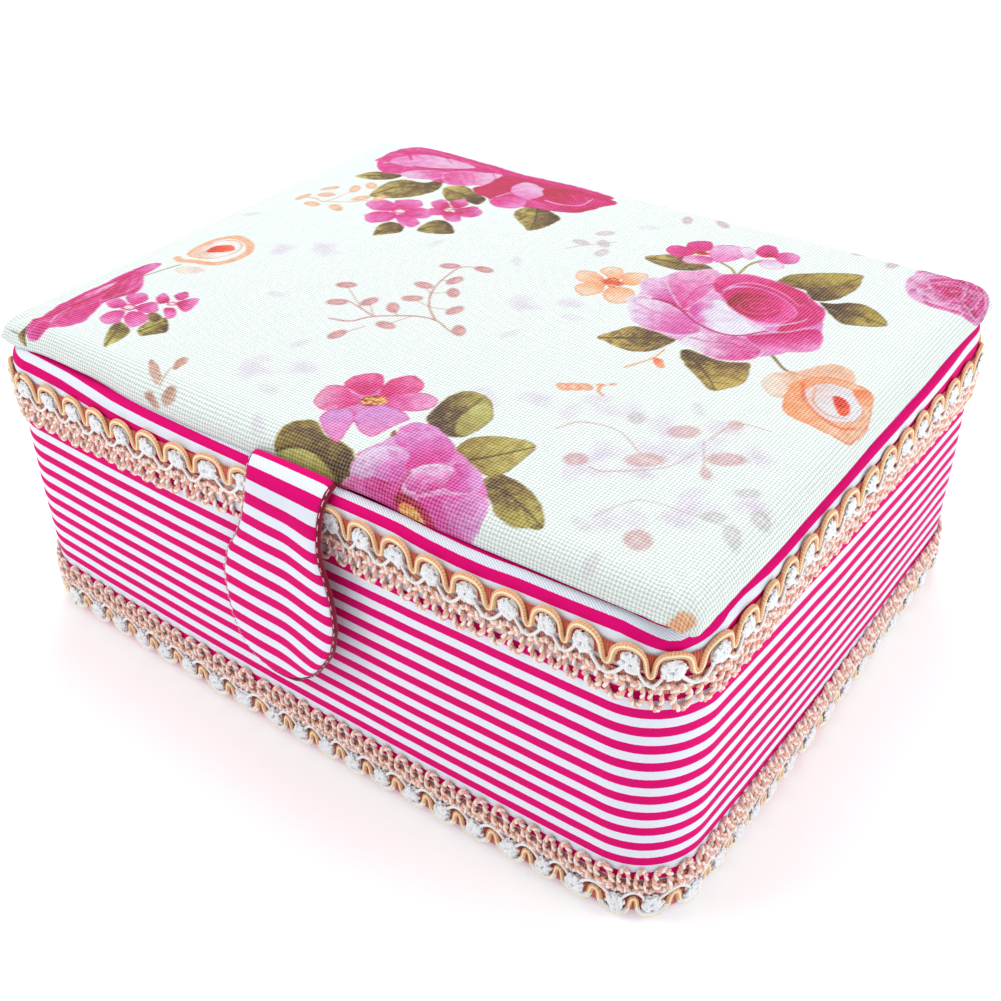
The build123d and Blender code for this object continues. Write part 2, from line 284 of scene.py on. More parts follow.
def stripe_color(m, u, v, share=STRIPE_SHARE):
    """Magenta and white yarn stripes across v (mm), with woven edges."""
    ph = m.math("DIVIDE", m.math("SUBTRACT", STRIPE_TOP, v), STRIPE_PITCH)
    wob = m.noise(m.comb(m.math("MULTIPLY", u, 0.9), m.math("MULTIPLY", v, 0.05), 0.0), 1.0, 1.0)
    ph = m.math("ADD", ph, m.math("MULTIPLY", m.math("SUBTRACT", wob, 0.5), 0.028))
    fr = m.math("FRACT", ph)
    e = 0.018
    inside = m.math("SUBTRACT", m.step(fr, 0.0, e), m.step(fr, share - e / 2, share + e / 2))
    return inside, fr


def striped_cloth(name, hatch=True, dark=1.0):
    m = M(name, rough=0.85, spec=0.12)
    u, v = m.attr("fu"), m.attr("fv")
    inside, fr = stripe_color(m, u, v)
    tone = m.noise(m.comb(u, v, 0.0), 0.03, 2.0)
    mag = m.mix(tone, rgba(216 * dark, 0, 104 * dark), rgba(226 * dark, 0, 120 * dark))
    # the white yarn: cool white with fine grey twill lines
    tw = m.math("SINE", m.math("MULTIPLY", m.math("ADD", m.math("MULTIPLY", u, 0.87), m.math("MULTIPLY", v, 1.0)), 2 * math.pi / 0.62))
    wht = m.mix(m.math("MULTIPLY", m.step(tw, 0.0, 1.0), 0.55), rgba(236 * dark, 241 * dark, 252 * dark), rgba(205 * dark, 214 * dark, 232 * dark))
    if hatch:
        # over the rounded rim the twill opens and shows as grey hatching
        h = m.math("SINE", m.math("MULTIPLY", m.math("ADD", m.math("MULTIPLY", u, 0.9), m.math("MULTIPLY", v, 1.3)), 2 * math.pi / 1.0))
        k = m.math("MULTIPLY", m.math("MULTIPLY", m.step(h, 0.1, 0.9), m.step(m.attr("zz"), 97.0, 101.5)), m.lerp(m.step(v, 103.5, 104.1), 0.0, 1.0, 0.15, 1.0))
        wht = m.mix(m.math("MULTIPLY", k, 0.40), wht, rgba(116, 122, 136))
    yarn = m.noise(m.comb(m.math("MULTIPLY", u, 3.2), m.math("MULTIPLY", v, 3.2), 0.0), 1.0, 1.0)
    wht = m.mix(m.math("MULTIPLY", m.step(yarn, 0.52, 0.75), 0.35), wht, rgba(186, 196, 214))
    mag = m.mix(m.math("MULTIPLY", m.step(yarn, 0.52, 0.78), 0.25), mag, rgba(170, 0, 80))
    col = m.mix(inside, wht, mag)
    twb = m.math("SINE", m.math("MULTIPLY", m.math("ADD", m.math("MULTIPLY", u, 0.87), v), 2 * math.pi / 0.62))
    nb = m.bump(twb, 0.05, 0.35)
    nb = m.bump(m.noise(m.comb(u, v, 0.0), 0.11, 2.0), 0.8, 0.16, nb)
    return m.set(col, nb)


def linen_cloth(name):
    m = M(name, rough=0.92, spec=0.05, sheen=0.0)
    u, v = m.attr("fu"), m.attr("fv")
    jit = m.noise(m.comb(m.math("MULTIPLY", u, 0.5), m.math("MULTIPLY", v, 0.5), 0.0), 1.0, 2.0)
    uu = m.math("ADD", u, m.math("MULTIPLY", jit, 0.45))
    vv = m.math("ADD", v, m.math("MULTIPLY", jit, 0.35))
    h = m.plain_weave(uu, vv, 1.06)
    slub = m.noise(m.comb(m.math("MULTIPLY", u, 0.9), m.math("MULTIPLY", v, 0.07), 0.0), 1.0, 2.0)
    slub2 = m.noise(m.comb(m.math("MULTIPLY", u, 0.07), m.math("MULTIPLY", v, 0.9), 3.0), 1.0, 2.0)
    base = m.attr("print", "Color")
    # painted shade and light: the gaps between the threads darken the print to about 60% as shade, and the thread
    # crowns are lifted 12% towards white as painted highlight
    dark = m.mix(1.0, base, (0.60, 0.665, 0.64, 1.0), "MULTIPLY")
    light = m.mix(0.12, base, (1.0, 1.0, 1.0, 1.0))
    col = m.mix(m.step(h, 0.28, 0.80), dark, light)
    tone = m.math("ADD", m.math("MULTIPLY", slub, 0.5), m.math("MULTIPLY", slub2, 0.5))
    col = m.mix(m.lerp(tone, 0.35, 0.65, 0.14, 0.0), col, rgba(196, 214, 208), "MULTIPLY")
    nb = m.bump(h, 0.26, 0.75)
    nb = m.bump(tone, 0.5, 0.18, nb)
    return m.set(col, nb)


def thread_mat(name, c1, c2, pitch=0.9, turns=1.0, depth=0.10, rough=0.6, spec=0.35, sheen=0.2):
    """A twisted cord: colour and bump wind round it. cu is the length along it in mm, cv the turn round it."""
    m = M(name, rough=rough, spec=spec, sheen=sheen)
    cu, cv = m.attr("cu"), m.attr("cv")
    w = m.math("SINE", m.math("MULTIPLY", m.math("ADD", m.math("DIVIDE", cu, pitch), m.math("MULTIPLY", cv, turns)), 2 * math.pi))
    n = m.noise(m.pos(), 900.0, 2.0)
    col = m.mix(m.step(w, -0.9, 0.6), c2, c1)
    col = m.mix(m.lerp(n, 0.3, 0.7, 0.0, 0.35), col, c2)
    return m.set(col, m.bump(w, depth, 0.8))


def simple_cloth(name, c1, c2, pitch=0.5, rough=0.85, bump=0.12, sheen=0.2, big=0.0):
    """Plain woven cloth from object space, its threads along x and along y, both slanted with z."""
    m = M(name, rough=rough, spec=0.22, sheen=sheen)
    p = m.pos()
    x, y, z = m.sep(p)
    k = 2000 * math.pi / pitch
    a = m.math("SINE", m.math("MULTIPLY", m.math("ADD", x, m.math("MULTIPLY", z, 0.31)), k))
    b = m.math("SINE", m.math("MULTIPLY", m.math("ADD", y, m.math("MULTIPLY", z, 0.95)), k))
    w = m.math("MULTIPLY", a, b)
    n = m.noise(p, 120.0, 3.0)
    col = m.mix(m.step(w, -0.7, 0.9), c2, c1)
    col = m.mix(m.lerp(n, 0.35, 0.7, 0.0, 0.4), col, c2)
    nb = m.bump(w, bump, 0.5)
    nb = m.bump(n, 0.6, 0.25, nb)
    return m.set(col, nb)


def board_mat(name, c1, c2, rough=0.9, grain=700.0, bump=0.08, spec=0.2):
    m = M(name, rough=rough, spec=spec)
    p = m.pos()
    n1, n2 = m.noise(p, grain, 4.0, 0.65), m.noise(p, 60.0, 3.0)
    col = m.mix(m.step(n1, 0.3, 0.7), c1, c2)
    col = m.mix(m.lerp(n2, 0.35, 0.65, 0.0, 0.35), col, c2)
    return m.set(col, m.bump(n1, bump, 0.6), m.lerp(n2, 0.3, 0.7, rough - 0.08, min(1.0, rough + 0.06)))


def metal_mat(name):
    m = M(name, rgba(214, 214, 216), rough=0.3, spec=0.5, metallic=1.0)
    p = m.pos()
    n1, n2 = m.noise(p, 1500.0, 3.0), m.noise(p, 180.0, 3.0)
    col = m.mix(m.step(n2, 0.35, 0.7), rgba(222, 222, 224), rgba(180, 178, 176))
    return m.set(col, m.bump(n1, 0.02, 0.5), m.lerp(n2, 0.3, 0.7, 0.22, 0.42))


STRIPES = striped_cloth("striped_twill")
FLAP_STRIPES = striped_cloth("striped_twill_flap", hatch=True)
LINEN = linen_cloth("printed_linen")
TAN = thread_mat("gimp_tan", rgba(240, 190, 148), rgba(222, 158, 108), 0.8, 1.0, 0.05)
# backing strip behind the gimp waves: a real strip whose dark orange-brown is painted shade for the gimp's shaded side
GROUND_SHADE = thread_mat("braid_ground_shade", rgba(206, 96, 62), rgba(168, 58, 40), 0.7, 0.0, 0.06)
WEB = thread_mat("braid_web", rgba(238, 172, 150), rgba(206, 120, 100), 0.7, 0.0, 0.08)
CREAM = thread_mat("gimp_cream", rgba(255, 248, 216), rgba(252, 228, 176), 0.6, 1.0, 0.03, rough=0.4)
WHITE = thread_mat("gimp_white", rgba(254, 254, 254), rgba(232, 236, 240), 0.6, 1.0, 0.03, rough=0.4)
TUFT = thread_mat("gimp_tuft", rgba(255, 255, 255), rgba(240, 245, 252), 0.45, 1.0, 0.05)
PICOT_A = thread_mat("picot_white", rgba(255, 253, 250), rgba(255, 240, 232), 0.6, 1.0, 0.04, rough=0.35)
PICOT_B = thread_mat("picot_pink", rgba(250, 206, 186), rgba(236, 160, 136), 0.6, 1.0, 0.04, rough=0.4)
LINING = simple_cloth("lining_cotton", rgba(246, 226, 222), rgba(228, 200, 198), 0.55, bump=0.08)
PLAIN_PINK = simple_cloth("plain_magenta_cotton", rgba(214, 20, 110), rgba(176, 4, 82), 0.55, bump=0.1)
TAPE = simple_cloth("hinge_tape", rgba(206, 10, 102), rgba(168, 2, 78), 0.7, bump=0.12)
BOTTOM = simple_cloth("bottom_cotton", rgba(190, 30, 104), rgba(150, 14, 76), 0.6, bump=0.1)
RIBBON = simple_cloth("ribbon_grosgrain", rgba(240, 214, 216), rgba(216, 178, 184), 0.8, rough=0.5, bump=0.12)
PULL = simple_cloth("pull_ribbon", rgba(216, 30, 116), rgba(170, 8, 84), 0.8, rough=0.5, bump=0.12)
FELT = board_mat("felt", rgba(226, 132, 164), rgba(200, 96, 134), 0.98, 900.0, 0.25, 0.1)
WADDING = board_mat("wadding", rgba(246, 246, 244), rgba(224, 224, 222), 0.98, 260.0, 0.5, 0.1)
BOARD = board_mat("grey_board", rgba(176, 160, 134), rgba(146, 130, 106))
TRAY = board_mat("moulded_tray", rgba(244, 240, 238), rgba(232, 226, 224), 0.5, 1600.0, 0.03, 0.4)
METAL = metal_mat("nickel")
STITCH = thread_mat("stitch_thread", rgba(244, 196, 206), rgba(206, 140, 156), 0.5, 1.0, 0.04)

for node, mat in {
    "bottom_cover": BOTTOM, "wall_hoop": BOARD, "base_board": BOARD, "wall_lining": LINING, "tray_rail_front": TRAY, "tray_rail_back": TRAY,
    "snap_socket": METAL, "snap_stud": METAL, "stay_anchors": METAL, "lid_board": BOARD, "lid_lining_panel": LINING, "stay_tabs": RIBBON,
    "flap_anchor": PLAIN_PINK, "flap_stiffener": BOARD, "tray_body": TRAY, "tray_lining": FELT, "tray_divider_long": TRAY,
    "tray_dividers_cross": TRAY, "stay_left": RIBBON, "stay_right": RIBBON, "wall_wadding": WADDING, "lid_pad": WADDING,
    "floor_pad": LINING, "lid_pocket": LINING, "pin_cushion": PLAIN_PINK, "hinge_cloth_lid": TAPE, "hinge_cloth_body": TAPE,
    "tray_pull_ribbons": PULL,
}.items():
    NODES[node].data.materials.clear()
    NODES[node].data.materials.append(mat)

# =====================================================================
# The outline of the walls, by length along it (mm)
# =====================================================================
BW, BD, BR, BOWF, BOWS = 260.0, 212.0, 21.0, 2.1, 0.9


def arc3(p0, p1, p2, n):
    """n points on the circle through three points."""
    ax, ay, bx, by, cx, cy = *p0, *p1, *p2
    d = 2 * (ax * (by - cy) + bx * (cy - ay) + cx * (ay - by))
    ux = ((ax**2 + ay**2) * (by - cy) + (bx**2 + by**2) * (cy - ay) + (cx**2 + cy**2) * (ay - by)) / d
    uy = ((ax**2 + ay**2) * (cx - bx) + (bx**2 + by**2) * (ax - cx) + (cx**2 + cy**2) * (bx - ax)) / d
    r = math.hypot(ax - ux, ay - uy)
    a0, a2 = math.atan2(ay - uy, ax - ux), math.atan2(cy - uy, cx - ux)
    da = (a2 - a0 + math.pi) % (2 * math.pi) - math.pi
    t = np.linspace(0, 1, n)
    a = a0 + da * t
    return np.stack([ux + r * np.cos(a), uy + r * np.sin(a), np.cos(a), np.sin(a)], 1)


def build_outline():
    a, b, cx, cy, r = BW / 2, BD / 2, BW / 2 - BR, BD / 2 - BR, BR
    k = math.sqrt(0.5)
    segs = []
    seg = np.linspace(0, -cx, 60)
    segs.append(np.stack([seg, np.full(60, b), np.zeros(60), np.ones(60)], 1))
    segs.append(arc3((-cx, b), (-cx - r * k, cy + r * k), (-a, cy), 40))
    segs.append(arc3((-a, cy), (-a - BOWS, 0), (-a, -cy), 90))
    segs.append(arc3((-a, -cy), (-cx - r * k, -cy - r * k), (-cx, -b), 40))
    segs.append(arc3((-cx, -b), (0, -b - BOWF), (cx, -b), 120))
    segs.append(arc3((cx, -b), (cx + r * k, -cy - r * k), (a, -cy), 40))
    segs.append(arc3((a, -cy), (a + BOWS, 0), (a, cy), 90))
    segs.append(arc3((a, cy), (cx + r * k, cy + r * k), (cx, b), 40))
    seg = np.linspace(cx, 0, 60)
    segs.append(np.stack([seg, np.full(60, b), np.zeros(60), np.ones(60)], 1))
    pts = [segs[0]] + [s[1:] for s in segs[1:]]
    pts = np.concatenate(pts)
    ds = np.hypot(np.diff(pts[:, 0]), np.diff(pts[:, 1]))
    s = np.concatenate([[0], np.cumsum(ds)])
    # soften the small turn where the arcs meet
    for _ in range(3):
        pts[1:-1, 2:] = (pts[:-2, 2:] + 2 * pts[1:-1, 2:] + pts[2:, 2:]) / 4
    nl = np.hypot(pts[:, 2], pts[:, 3])
    pts[:, 2] /= nl
    pts[:, 3] /= nl
    return pts, s


OUT_PTS, OUT_S = build_outline()
OUT_L = float(OUT_S[-1])


def on_outline(s):
    """Point and outward normal at length s from the middle of the back, going left, front, right, back."""
    s = np.asarray(s, float) % OUT_L
    return tuple(np.interp(s, OUT_S, OUT_PTS[:, k]) for k in range(4))


def s_of(side, value):
    """Length along the outline of the point with that x on the front, or that y on the right or left."""
    x, y = OUT_PTS[:, 0], OUT_PTS[:, 1]
    if side == "front":
        sel = (y < -BD / 2 + 3) & (np.abs(x) < BW / 2 - 5)
        return float(np.interp(value, x[sel], OUT_S[sel]))
    if side == "right":
        sel = (x > BW / 2 - 3) & (np.abs(y) < BD / 2 - 5)
        return float(np.interp(value, y[sel], OUT_S[sel]))
    sel = (x < -BW / 2 + 3) & (np.abs(y) < BD / 2 - 5)
    return float(np.interp(-value, -y[sel], OUT_S[sel]))


def wall_point(s, z, d):
    x, y, nx, ny = on_outline(s)
    return np.stack([x + nx * d, y + ny * d, np.broadcast_to(z, np.shape(x))], -1)


S_RF = s_of("right", -85.0)          # where the right side starts
S_RB = s_of("right", 85.0)
S_F0, S_F1 = s_of("front", -109.0), s_of("front", 109.0)


# how far the fabric was pulled up over the shoulder, along the outline
SHOULDER_S = [300, 330, 346, 362, 370, 378, 386, 393, 400, 433, 490, 499, 504, 509, 519, 528, 537, 549, 562, 566, 570, 574, 578, 581, 585, 590, 597, 605, 617, 640, 760]
SHOULDER_V = [3.6, 4.2, 4.35, 4.0, 3.5, 3.0, 2.2, 1.85, 1.65, 1.65, 1.8, 1.65, 1.1, 0.7, 0.2, 0.2, 0.75, 0.95, 1.15, 1.15, 0.3, -1.0, -2.4, -2.6, -1.5, -0.3, 1.2, 1.2, 0.1, 0.4, 0.3]


def stripe_v(s, z, zz):
    """Fabric coordinate across the stripes, so that they lie as they do on the object: nearly level on the front,
    falling towards the back on the right side. z is the fabric height, zz the height used to fade the fall out above the braid."""
    x, y, _, _ = on_outline(np.minimum(s, OUT_L - 1e-6))
    tilt = 0.0068 * np.clip(x, -109, 109)
    tilt = np.where(s < S_F0, -0.74, np.where(s > S_F1, 0.74, tilt))
    yy = np.clip(s - (S_RF - 8.0), 0, 205.0)
    yy = yy * (1 - smooth(85.5, 97.5, zz))
    zc = z + tilt - np.interp(s, SHOULDER_S, SHOULDER_V) * smooth(88.0, 99.0, zz)
    v = STRIPE_TOP - STRIPE_PITCH * (STRIPE_TOP - 0.0671 * yy - zc) / (STRIPE_PITCH - 0.00177 * yy)
    return v


# =====================================================================
# Striped wrap: walls, soft shoulder and rim
# =====================================================================
def build_wrap():
    prof = [(-13.0, 1.30), (-9.0, 1.30), (-5.2, 1.32), (-3.4, 1.34), (-2.1, 1.55), (-1.0, 2.1), (-0.35, 3.0), (0.0, 4.3)]
    for z in np.linspace(6.5, 96.5, 46):
        puff = 0.45 * math.sin(math.pi * min(1, max(0, (z - 20) / 64.0))) if 20 < z < 84 else 0.0
        prof.append((puff, float(z)))
    for t in np.linspace(0, math.pi / 2, 15)[1:]:
        prof.append((-6.1 + 6.1 * math.cos(t) ** 0.92, 97.9 + 6.1 * math.sin(t) ** 0.92))
    prof += [(-6.7, 104.0), (-7.2, 103.92), (-7.65, 103.6), (-7.92, 103.0), (-8.0, 102.2), (-8.0, 98.0), (-8.0, 94.4), (-7.5, 93.9)]
    prof = np.array(prof)
    d, z = prof[:, 0], prof[:, 1]
    seg = np.hypot(np.diff(d), np.diff(z))
    v = np.concatenate([[0], np.cumsum(seg)])
    k0 = int(np.argmin(np.abs(z - 50)))
    v = v - v[k0] + z[k0]
    ns = 620
    s = np.linspace(0, OUT_L + 7.0, ns)
    S, D = np.meshgrid(s, d, indexing="ij")
    _, Z = np.meshgrid(s, z, indexing="ij")
    _, V = np.meshgrid(s, v, indexing="ij")
    # inside parts of the outline go round tighter corners; every point moves out along the outline's normal
    X, Y, NX, NY = on_outline(S)
    soft = 0.10 * noise2(S, Z, 23.0, 3) + 0.05 * noise2(S, Z, 7.0, 4)
    rim = 0.28 * noise2(S, Z * 0 + 5, 19.0, 5) * smooth(96, 101, Z)
    lap = 0.55 * smooth(OUT_L - 6.0, OUT_L - 1.0, S)
    amp = np.where((Z > 5) & (Z < 103.5) & (D > -7), 1.0, 0.0)
    # where the cloth's two ends lap at the back, the outer end lies on the inner one all the way over the rim
    nd, nz = np.gradient(z), -np.gradient(d)
    q = np.hypot(nd, nz) + 1e-9
    on = np.where(z > 5, 1.0, np.where(d > -3.3, 1.0, 0.0)) * np.where((d < -7.0) & (z > 90), 0.45, 1.0)
    D2 = D + (soft + rim) * amp + lap * (nd / q * on)[None]
    Z2 = Z + lap * (nz / q * on * (z > 5))[None]
    P = np.stack([X + NX * D2, Y + NY * D2, Z2], -1).reshape(-1, 3)
    fv = stripe_v(S, V, Z)
    ob = new_mesh("outer_wrap_fabric", P, grid_faces(ns, len(prof)), {"fu": S.ravel(), "fv": fv.ravel(), "zz": Z.ravel()})
    ob.data.materials.append(STRIPES)
    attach(ob, "body")
    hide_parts("outer_wrap", "wall_wadding")
    return ob


build_wrap()

# =====================================================================
# Braid: gimp cord waves, white tufts and picot loops, as real cords
# =====================================================================
def tube(path, nrm, rb, rn, sides=8, closed=False, phase=0.0):
    """Swept tube. path (m, 3), nrm (m, 3) a direction roughly square to it; rb is the radius across nrm, rn along it."""
    path = np.asarray(path, float)
    m = len(path)
    if closed:
        t = np.roll(path, -1, 0) - np.roll(path, 1, 0)
    else:
        t = np.gradient(path, axis=0)
    t /= np.linalg.norm(t, axis=1, keepdims=True) + 1e-12
    nrm = np.broadcast_to(np.asarray(nrm, float), path.shape)
    n = nrm - (nrm * t).sum(1, keepdims=True) * t
    n /= np.linalg.norm(n, axis=1, keepdims=True) + 1e-12
    b = np.cross(t, n)
    ang = np.linspace(0, 2 * np.pi, sides, endpoint=False) + phase - np.pi / 2
    rb, rn = np.broadcast_to(rb, (m,)), np.broadcast_to(rn, (m,))
    v = path[:, None] + b[:, None] * (np.cos(ang)[None, :, None] * rb[:, None, None]) + n[:, None] * (np.sin(ang)[None, :, None] * rn[:, None, None])
    i, j = np.meshgrid(np.arange(m if closed else m - 1), np.arange(sides), indexing="ij")
    i2, j2 = (i + 1) % m, (j + 1) % sides
    f = np.stack([i * sides + j, i * sides + j2, i2 * sides + j2, i2 * sides + j], -1).reshape(-1, 4)
    step = np.linalg.norm(np.diff(path, axis=0), axis=1)
    cu = np.concatenate([[0], np.cumsum(step)])
    cu = np.repeat(cu, sides)
    cv = np.tile(np.arange(sides) / sides, m)
    return v.reshape(-1, 3), f, cu, cv


class Bag:
    """Collects tubes into one mesh."""

    def __init__(self):
        self.v, self.f, self.cu, self.cv, self.n = [], [], [], [], 0

    def add(self, v, f, cu, cv):
        self.v.append(v)
        self.f.append(f + self.n)
        self.cu.append(cu)
        self.cv.append(cv)
        self.n += len(v)

    def arrays(self):
        return np.concatenate(self.v), np.concatenate(self.f), np.concatenate(self.cu), np.concatenate(self.cv)


# the wave of the gimp, one period, as (share of the period, mm below the crest line)
WAVE = np.array([(0.0, 0.0), (0.12, 0.05), (0.234, 0.4), (0.33, 1.15), (0.40, 2.4), (0.440, 4.0), (0.460, 5.6), (0.490, 7.1), (0.540, 7.9), (0.600, 7.9),
                 (0.648, 7.1), (0.674, 5.6), (0.690, 4.0), (0.73, 2.3), (0.80, 1.1), (0.90, 0.3)])


def catmull(p, n, closed_shift=None):
    """Smooth periodic curve through the points of one period; closed_shift is the step to the next period."""
    p = np.asarray(p, float)
    k = len(p)
    q = np.concatenate([p[-1:] - closed_shift, p, p[:2] + closed_shift])
    out = []
    per = np.linspace(0, k, n, endpoint=False)
    for t in per:
        i = int(t)
        u = t - i
        a, b, c, d = q[i], q[i + 1], q[i + 2], q[i + 3]
        out.append(0.5 * ((2 * b) + (-a + c) * u + (2 * a - 5 * b + 4 * c - d) * u * u + (-a + 3 * b - 3 * c + d) * u**3))
    return np.array(out)


# wave number, length along the outline, height of the crest line
BR_T = np.array([(-12, 343.3, 99.8), (-11, 355.5, 99.8), (-10, 367.7, 100.2), (-9, 379.5, 100.4), (-8, 391.3, 100.5), (-7, 403.1, 100.9), (-6, 416.7, 101.9),
                 (-5, 429.1, 103.0), (-4, 443.8, 104.0), (0, 487.7, 104.0), (1, 499.3, 103.5), (2, 510.7, 102.4), (3, 522.0, 101.7), (4, 534.7, 102.3), (5, 545.9, 102.6),
                 (6, 555.6, 102.2), (7, 568.3, 101.0), (8, 579.5, 99.2), (9, 592.6, 100.0), (10, 604.7, 99.7), (11, 616.9, 99.7), (12, 626.7, 100.6), (13, 637.0, 101.3),
                 (14, 649.6, 101.5), (15, 662.4, 101.2), (16, 676.7, 100.4), (17, 690.0, 100.1), (18, 702.8, 99.6), (19, 715.4, 98.9), (20, 728.8, 97.8), (21, 743.4, 96.4),
                 (22, 757.2, 95.6), (23, 769.4, 95.8), (28, 831.5, 99.6), (62, 343.3 + OUT_L, 99.8)])
BR_T[:, 2] -= 1.3
BR_T[:, 1] += np.where(BR_T[:, 0] <= 7, 0.9, np.where(BR_T[:, 0] <= 22, -1.6, 0.0)) * (np.abs(BR_T[:, 0]) < 30) * (BR_T[:, 0] > -12)
BR_ANCH, BR_N = BR_T[:, :2], 74


def phase_to_s(ph):
    n0 = BR_ANCH[0, 0]
    k = np.floor((ph - n0) / BR_N)
    return np.interp(ph - k * BR_N, BR_ANCH[:, 0], BR_ANCH[:, 1]) + k * OUT_L


def build_braid(name, z_of, up, node, pressed):
    """z_of(s, h) gives the height of a point h mm from the crest line; up is False where the trim is upside down."""
    P_MM = 12.3
    sgn = 1.0 if up else -1.0
    rng = np.random.default_rng(11 if up else 12)
    ph0 = -12.0
    K = BR_N
    nw = 40
    wave = catmull(WAVE, nw, np.array([1.0, 0.0]))
    amp = rng.uniform(0.94, 1.05, K)
    lean = rng.uniform(-0.10, 0.10, K)
    kk = np.repeat(np.arange(K), nw)
    ph = kk + np.tile(wave[:, 0], K)
    h = 0.93 * np.tile(wave[:, 1], K) * np.interp(ph, np.arange(K), amp) + np.interp(ph, np.arange(K), lean)
    local = lambda ph, h, d: np.stack([np.asarray(ph) * P_MM, np.asarray(h), np.asarray(d) * np.ones_like(np.asarray(h, float))], -1)
    N = np.array([0.0, 0.0, 1.0])
    bags = {}

    def bag(key):
        return bags.setdefault(key, Bag())

    # tan gimp with a raised cream cord in its middle
    dw = 0.95 + 0.18 * np.sin(2 * np.pi * ph * 0.37)
    ht_ = 0.55 + 0.90 * h
    v, f, cu, cv = tube(local(ph, ht_, dw), N, 0.92, 0.60, 12, closed=False)
    bag("tan").add(v, f, cu, cv)
    v, f, cu, cv = tube(local(ph, h * 0.98 + 0.25, dw + 0.42), N, 0.30, 0.34, 7, closed=False)
    bag("cream").add(v, f, cu, cv)
    v, f, cu, cv = tube(local(ph, h - 0.36, dw - 0.25), N, 0.24, 0.30, 7, closed=False)
    bag("tan").add(v, f, cu, cv)
    # woven ground of the braid, seen between the waves and between the loops; the strip behind the waves is a real
    # strip, and its dark orange-brown is painted shade for the gimp's shaded side
    gp = np.linspace(0, K, K * 12)
    v, f, cu, cv = tube(local(gp, 4.3 + 0.3 * np.sin(2 * np.pi * (gp + 0.2)), 0.42), N, 2.7, 0.22, 10)
    bag("ground").add(v, f, cu, cv)
    v, f, cu, cv = tube(local(gp, 10.9 + 0 * gp, 0.36), N, 2.3, 0.20, 10)
    bag("web").add(v, f, cu, cv)
    # white cord that swings under each trough
    sc = np.array([(0.10, 5.8), (0.22, 6.8), (0.32, 8.2), (0.44, 9.6), (0.56, 10.2), (0.68, 9.9), (0.80, 8.6), (0.92, 6.6), (1.00, 5.6)])
    ns = 26
    sw = catmull(sc, ns, np.array([1.0, 0.0]))
    phs = np.repeat(np.arange(K), ns) + np.tile(sw[:, 0], K)
    hs = np.tile(sw[:, 1], K)
    v, f, cu, cv = tube(local(phs, hs, 1.35 + 0.25 * np.sin(2 * np.pi * (phs - 0.3))), N, 0.52, 0.44, 8)
    bag("white").add(v, f, cu, cv)
    # tufts: short white threads knotted in each lobe, with a small gap left in the middle
    for k in range(K):
        for j in range(38):
            a0 = rng.uniform(0, 2 * np.pi)
            rr = rng.uniform(0.42, 1.0)
            cxp, chh = 0.75 + rr * 2.75 * math.cos(a0) + 0.3 * rr * math.sin(a0), 5.0 + rr * 2.65 * math.sin(a0)
            t = np.linspace(-1, 1, 6)
            ln = rng.uniform(0.8, 1.35)
            bend = rng.uniform(0.2, 0.7)
            d0 = a0 + rng.normal(np.pi / 2, 0.5)
            px = cxp + math.cos(d0) * ln * t - math.sin(d0) * bend * (1 - t * t)
            py = chh + math.sin(d0) * ln * t + math.cos(d0) * bend * (1 - t * t)
            pd = 1.25 + 0.5 * (1 - t * t) + rng.uniform(-0.1, 0.35)
            p = np.stack([px + k * P_MM, py, pd], -1)
            v, f, cu, cv = tube(p, N, 0.50, 0.46, 6)
            bag("tuft").add(v, f, cu, cv)
        # the pad of white thread that the tuft grows from
        q = np.linspace(0, 1, 9)
        v, f, cu, cv = tube(np.stack([0.75 + k * P_MM + 0 * q, 2.0 + 6.2 * q, 0.75 + 0 * q], -1), N, 2.9 * np.sqrt(np.clip(1 - (2 * q - 1) ** 4, 0.02, 1)), 0.62, 14)
        bag("tuft").add(v, f, cu, cv)
    # picot loops, two to a wave, each of two cords twisted together, and a row of arches that carries them
    def twisted(px, py, pd, turns, closed, n, r=0.43, th=0.50):
        t = np.linspace(0, 1, n, endpoint=not closed)
        for q, key in ((0, "picot_a"), (np.pi, "picot_b")):
            base = np.stack([px(t), py(t), pd(t)], -1)
            tg = np.gradient(base, axis=0)
            tg /= np.linalg.norm(tg, axis=1, keepdims=True)
            bb = np.cross(tg, N)
            w = 2 * np.pi * turns * t + q
            c = base + bb * (np.cos(w) * r)[:, None] + N * (np.sin(w) * r)[:, None]
            v, f, cu, cv = tube(c, N, th, th * 0.95, 6, closed)
            bag(key).add(v, f, cu, cv)

    for k in range(K):
        for j in range(2):
            c0 = (k + 0.27 + 0.5 * j) * P_MM + rng.uniform(-0.35, 0.35)
            tip = 18.0 + rng.uniform(-0.4, 0.4)
            wd = 1.95 + rng.uniform(-0.15, 0.2)
            ht = (tip - 10.4) / 2
            sk = rng.uniform(-0.5, 0.5)
            ph_ = rng.uniform(0, 2 * np.pi)
            twisted(lambda t: c0 + wd * np.sin(2 * np.pi * t + ph_) + sk * np.cos(2 * np.pi * t + ph_),
                    lambda t: 10.4 + ht - ht * np.cos(2 * np.pi * t + ph_),
                    lambda t: 1.15 + 0.25 * np.cos(2 * np.pi * t + ph_), 6, True, 48)
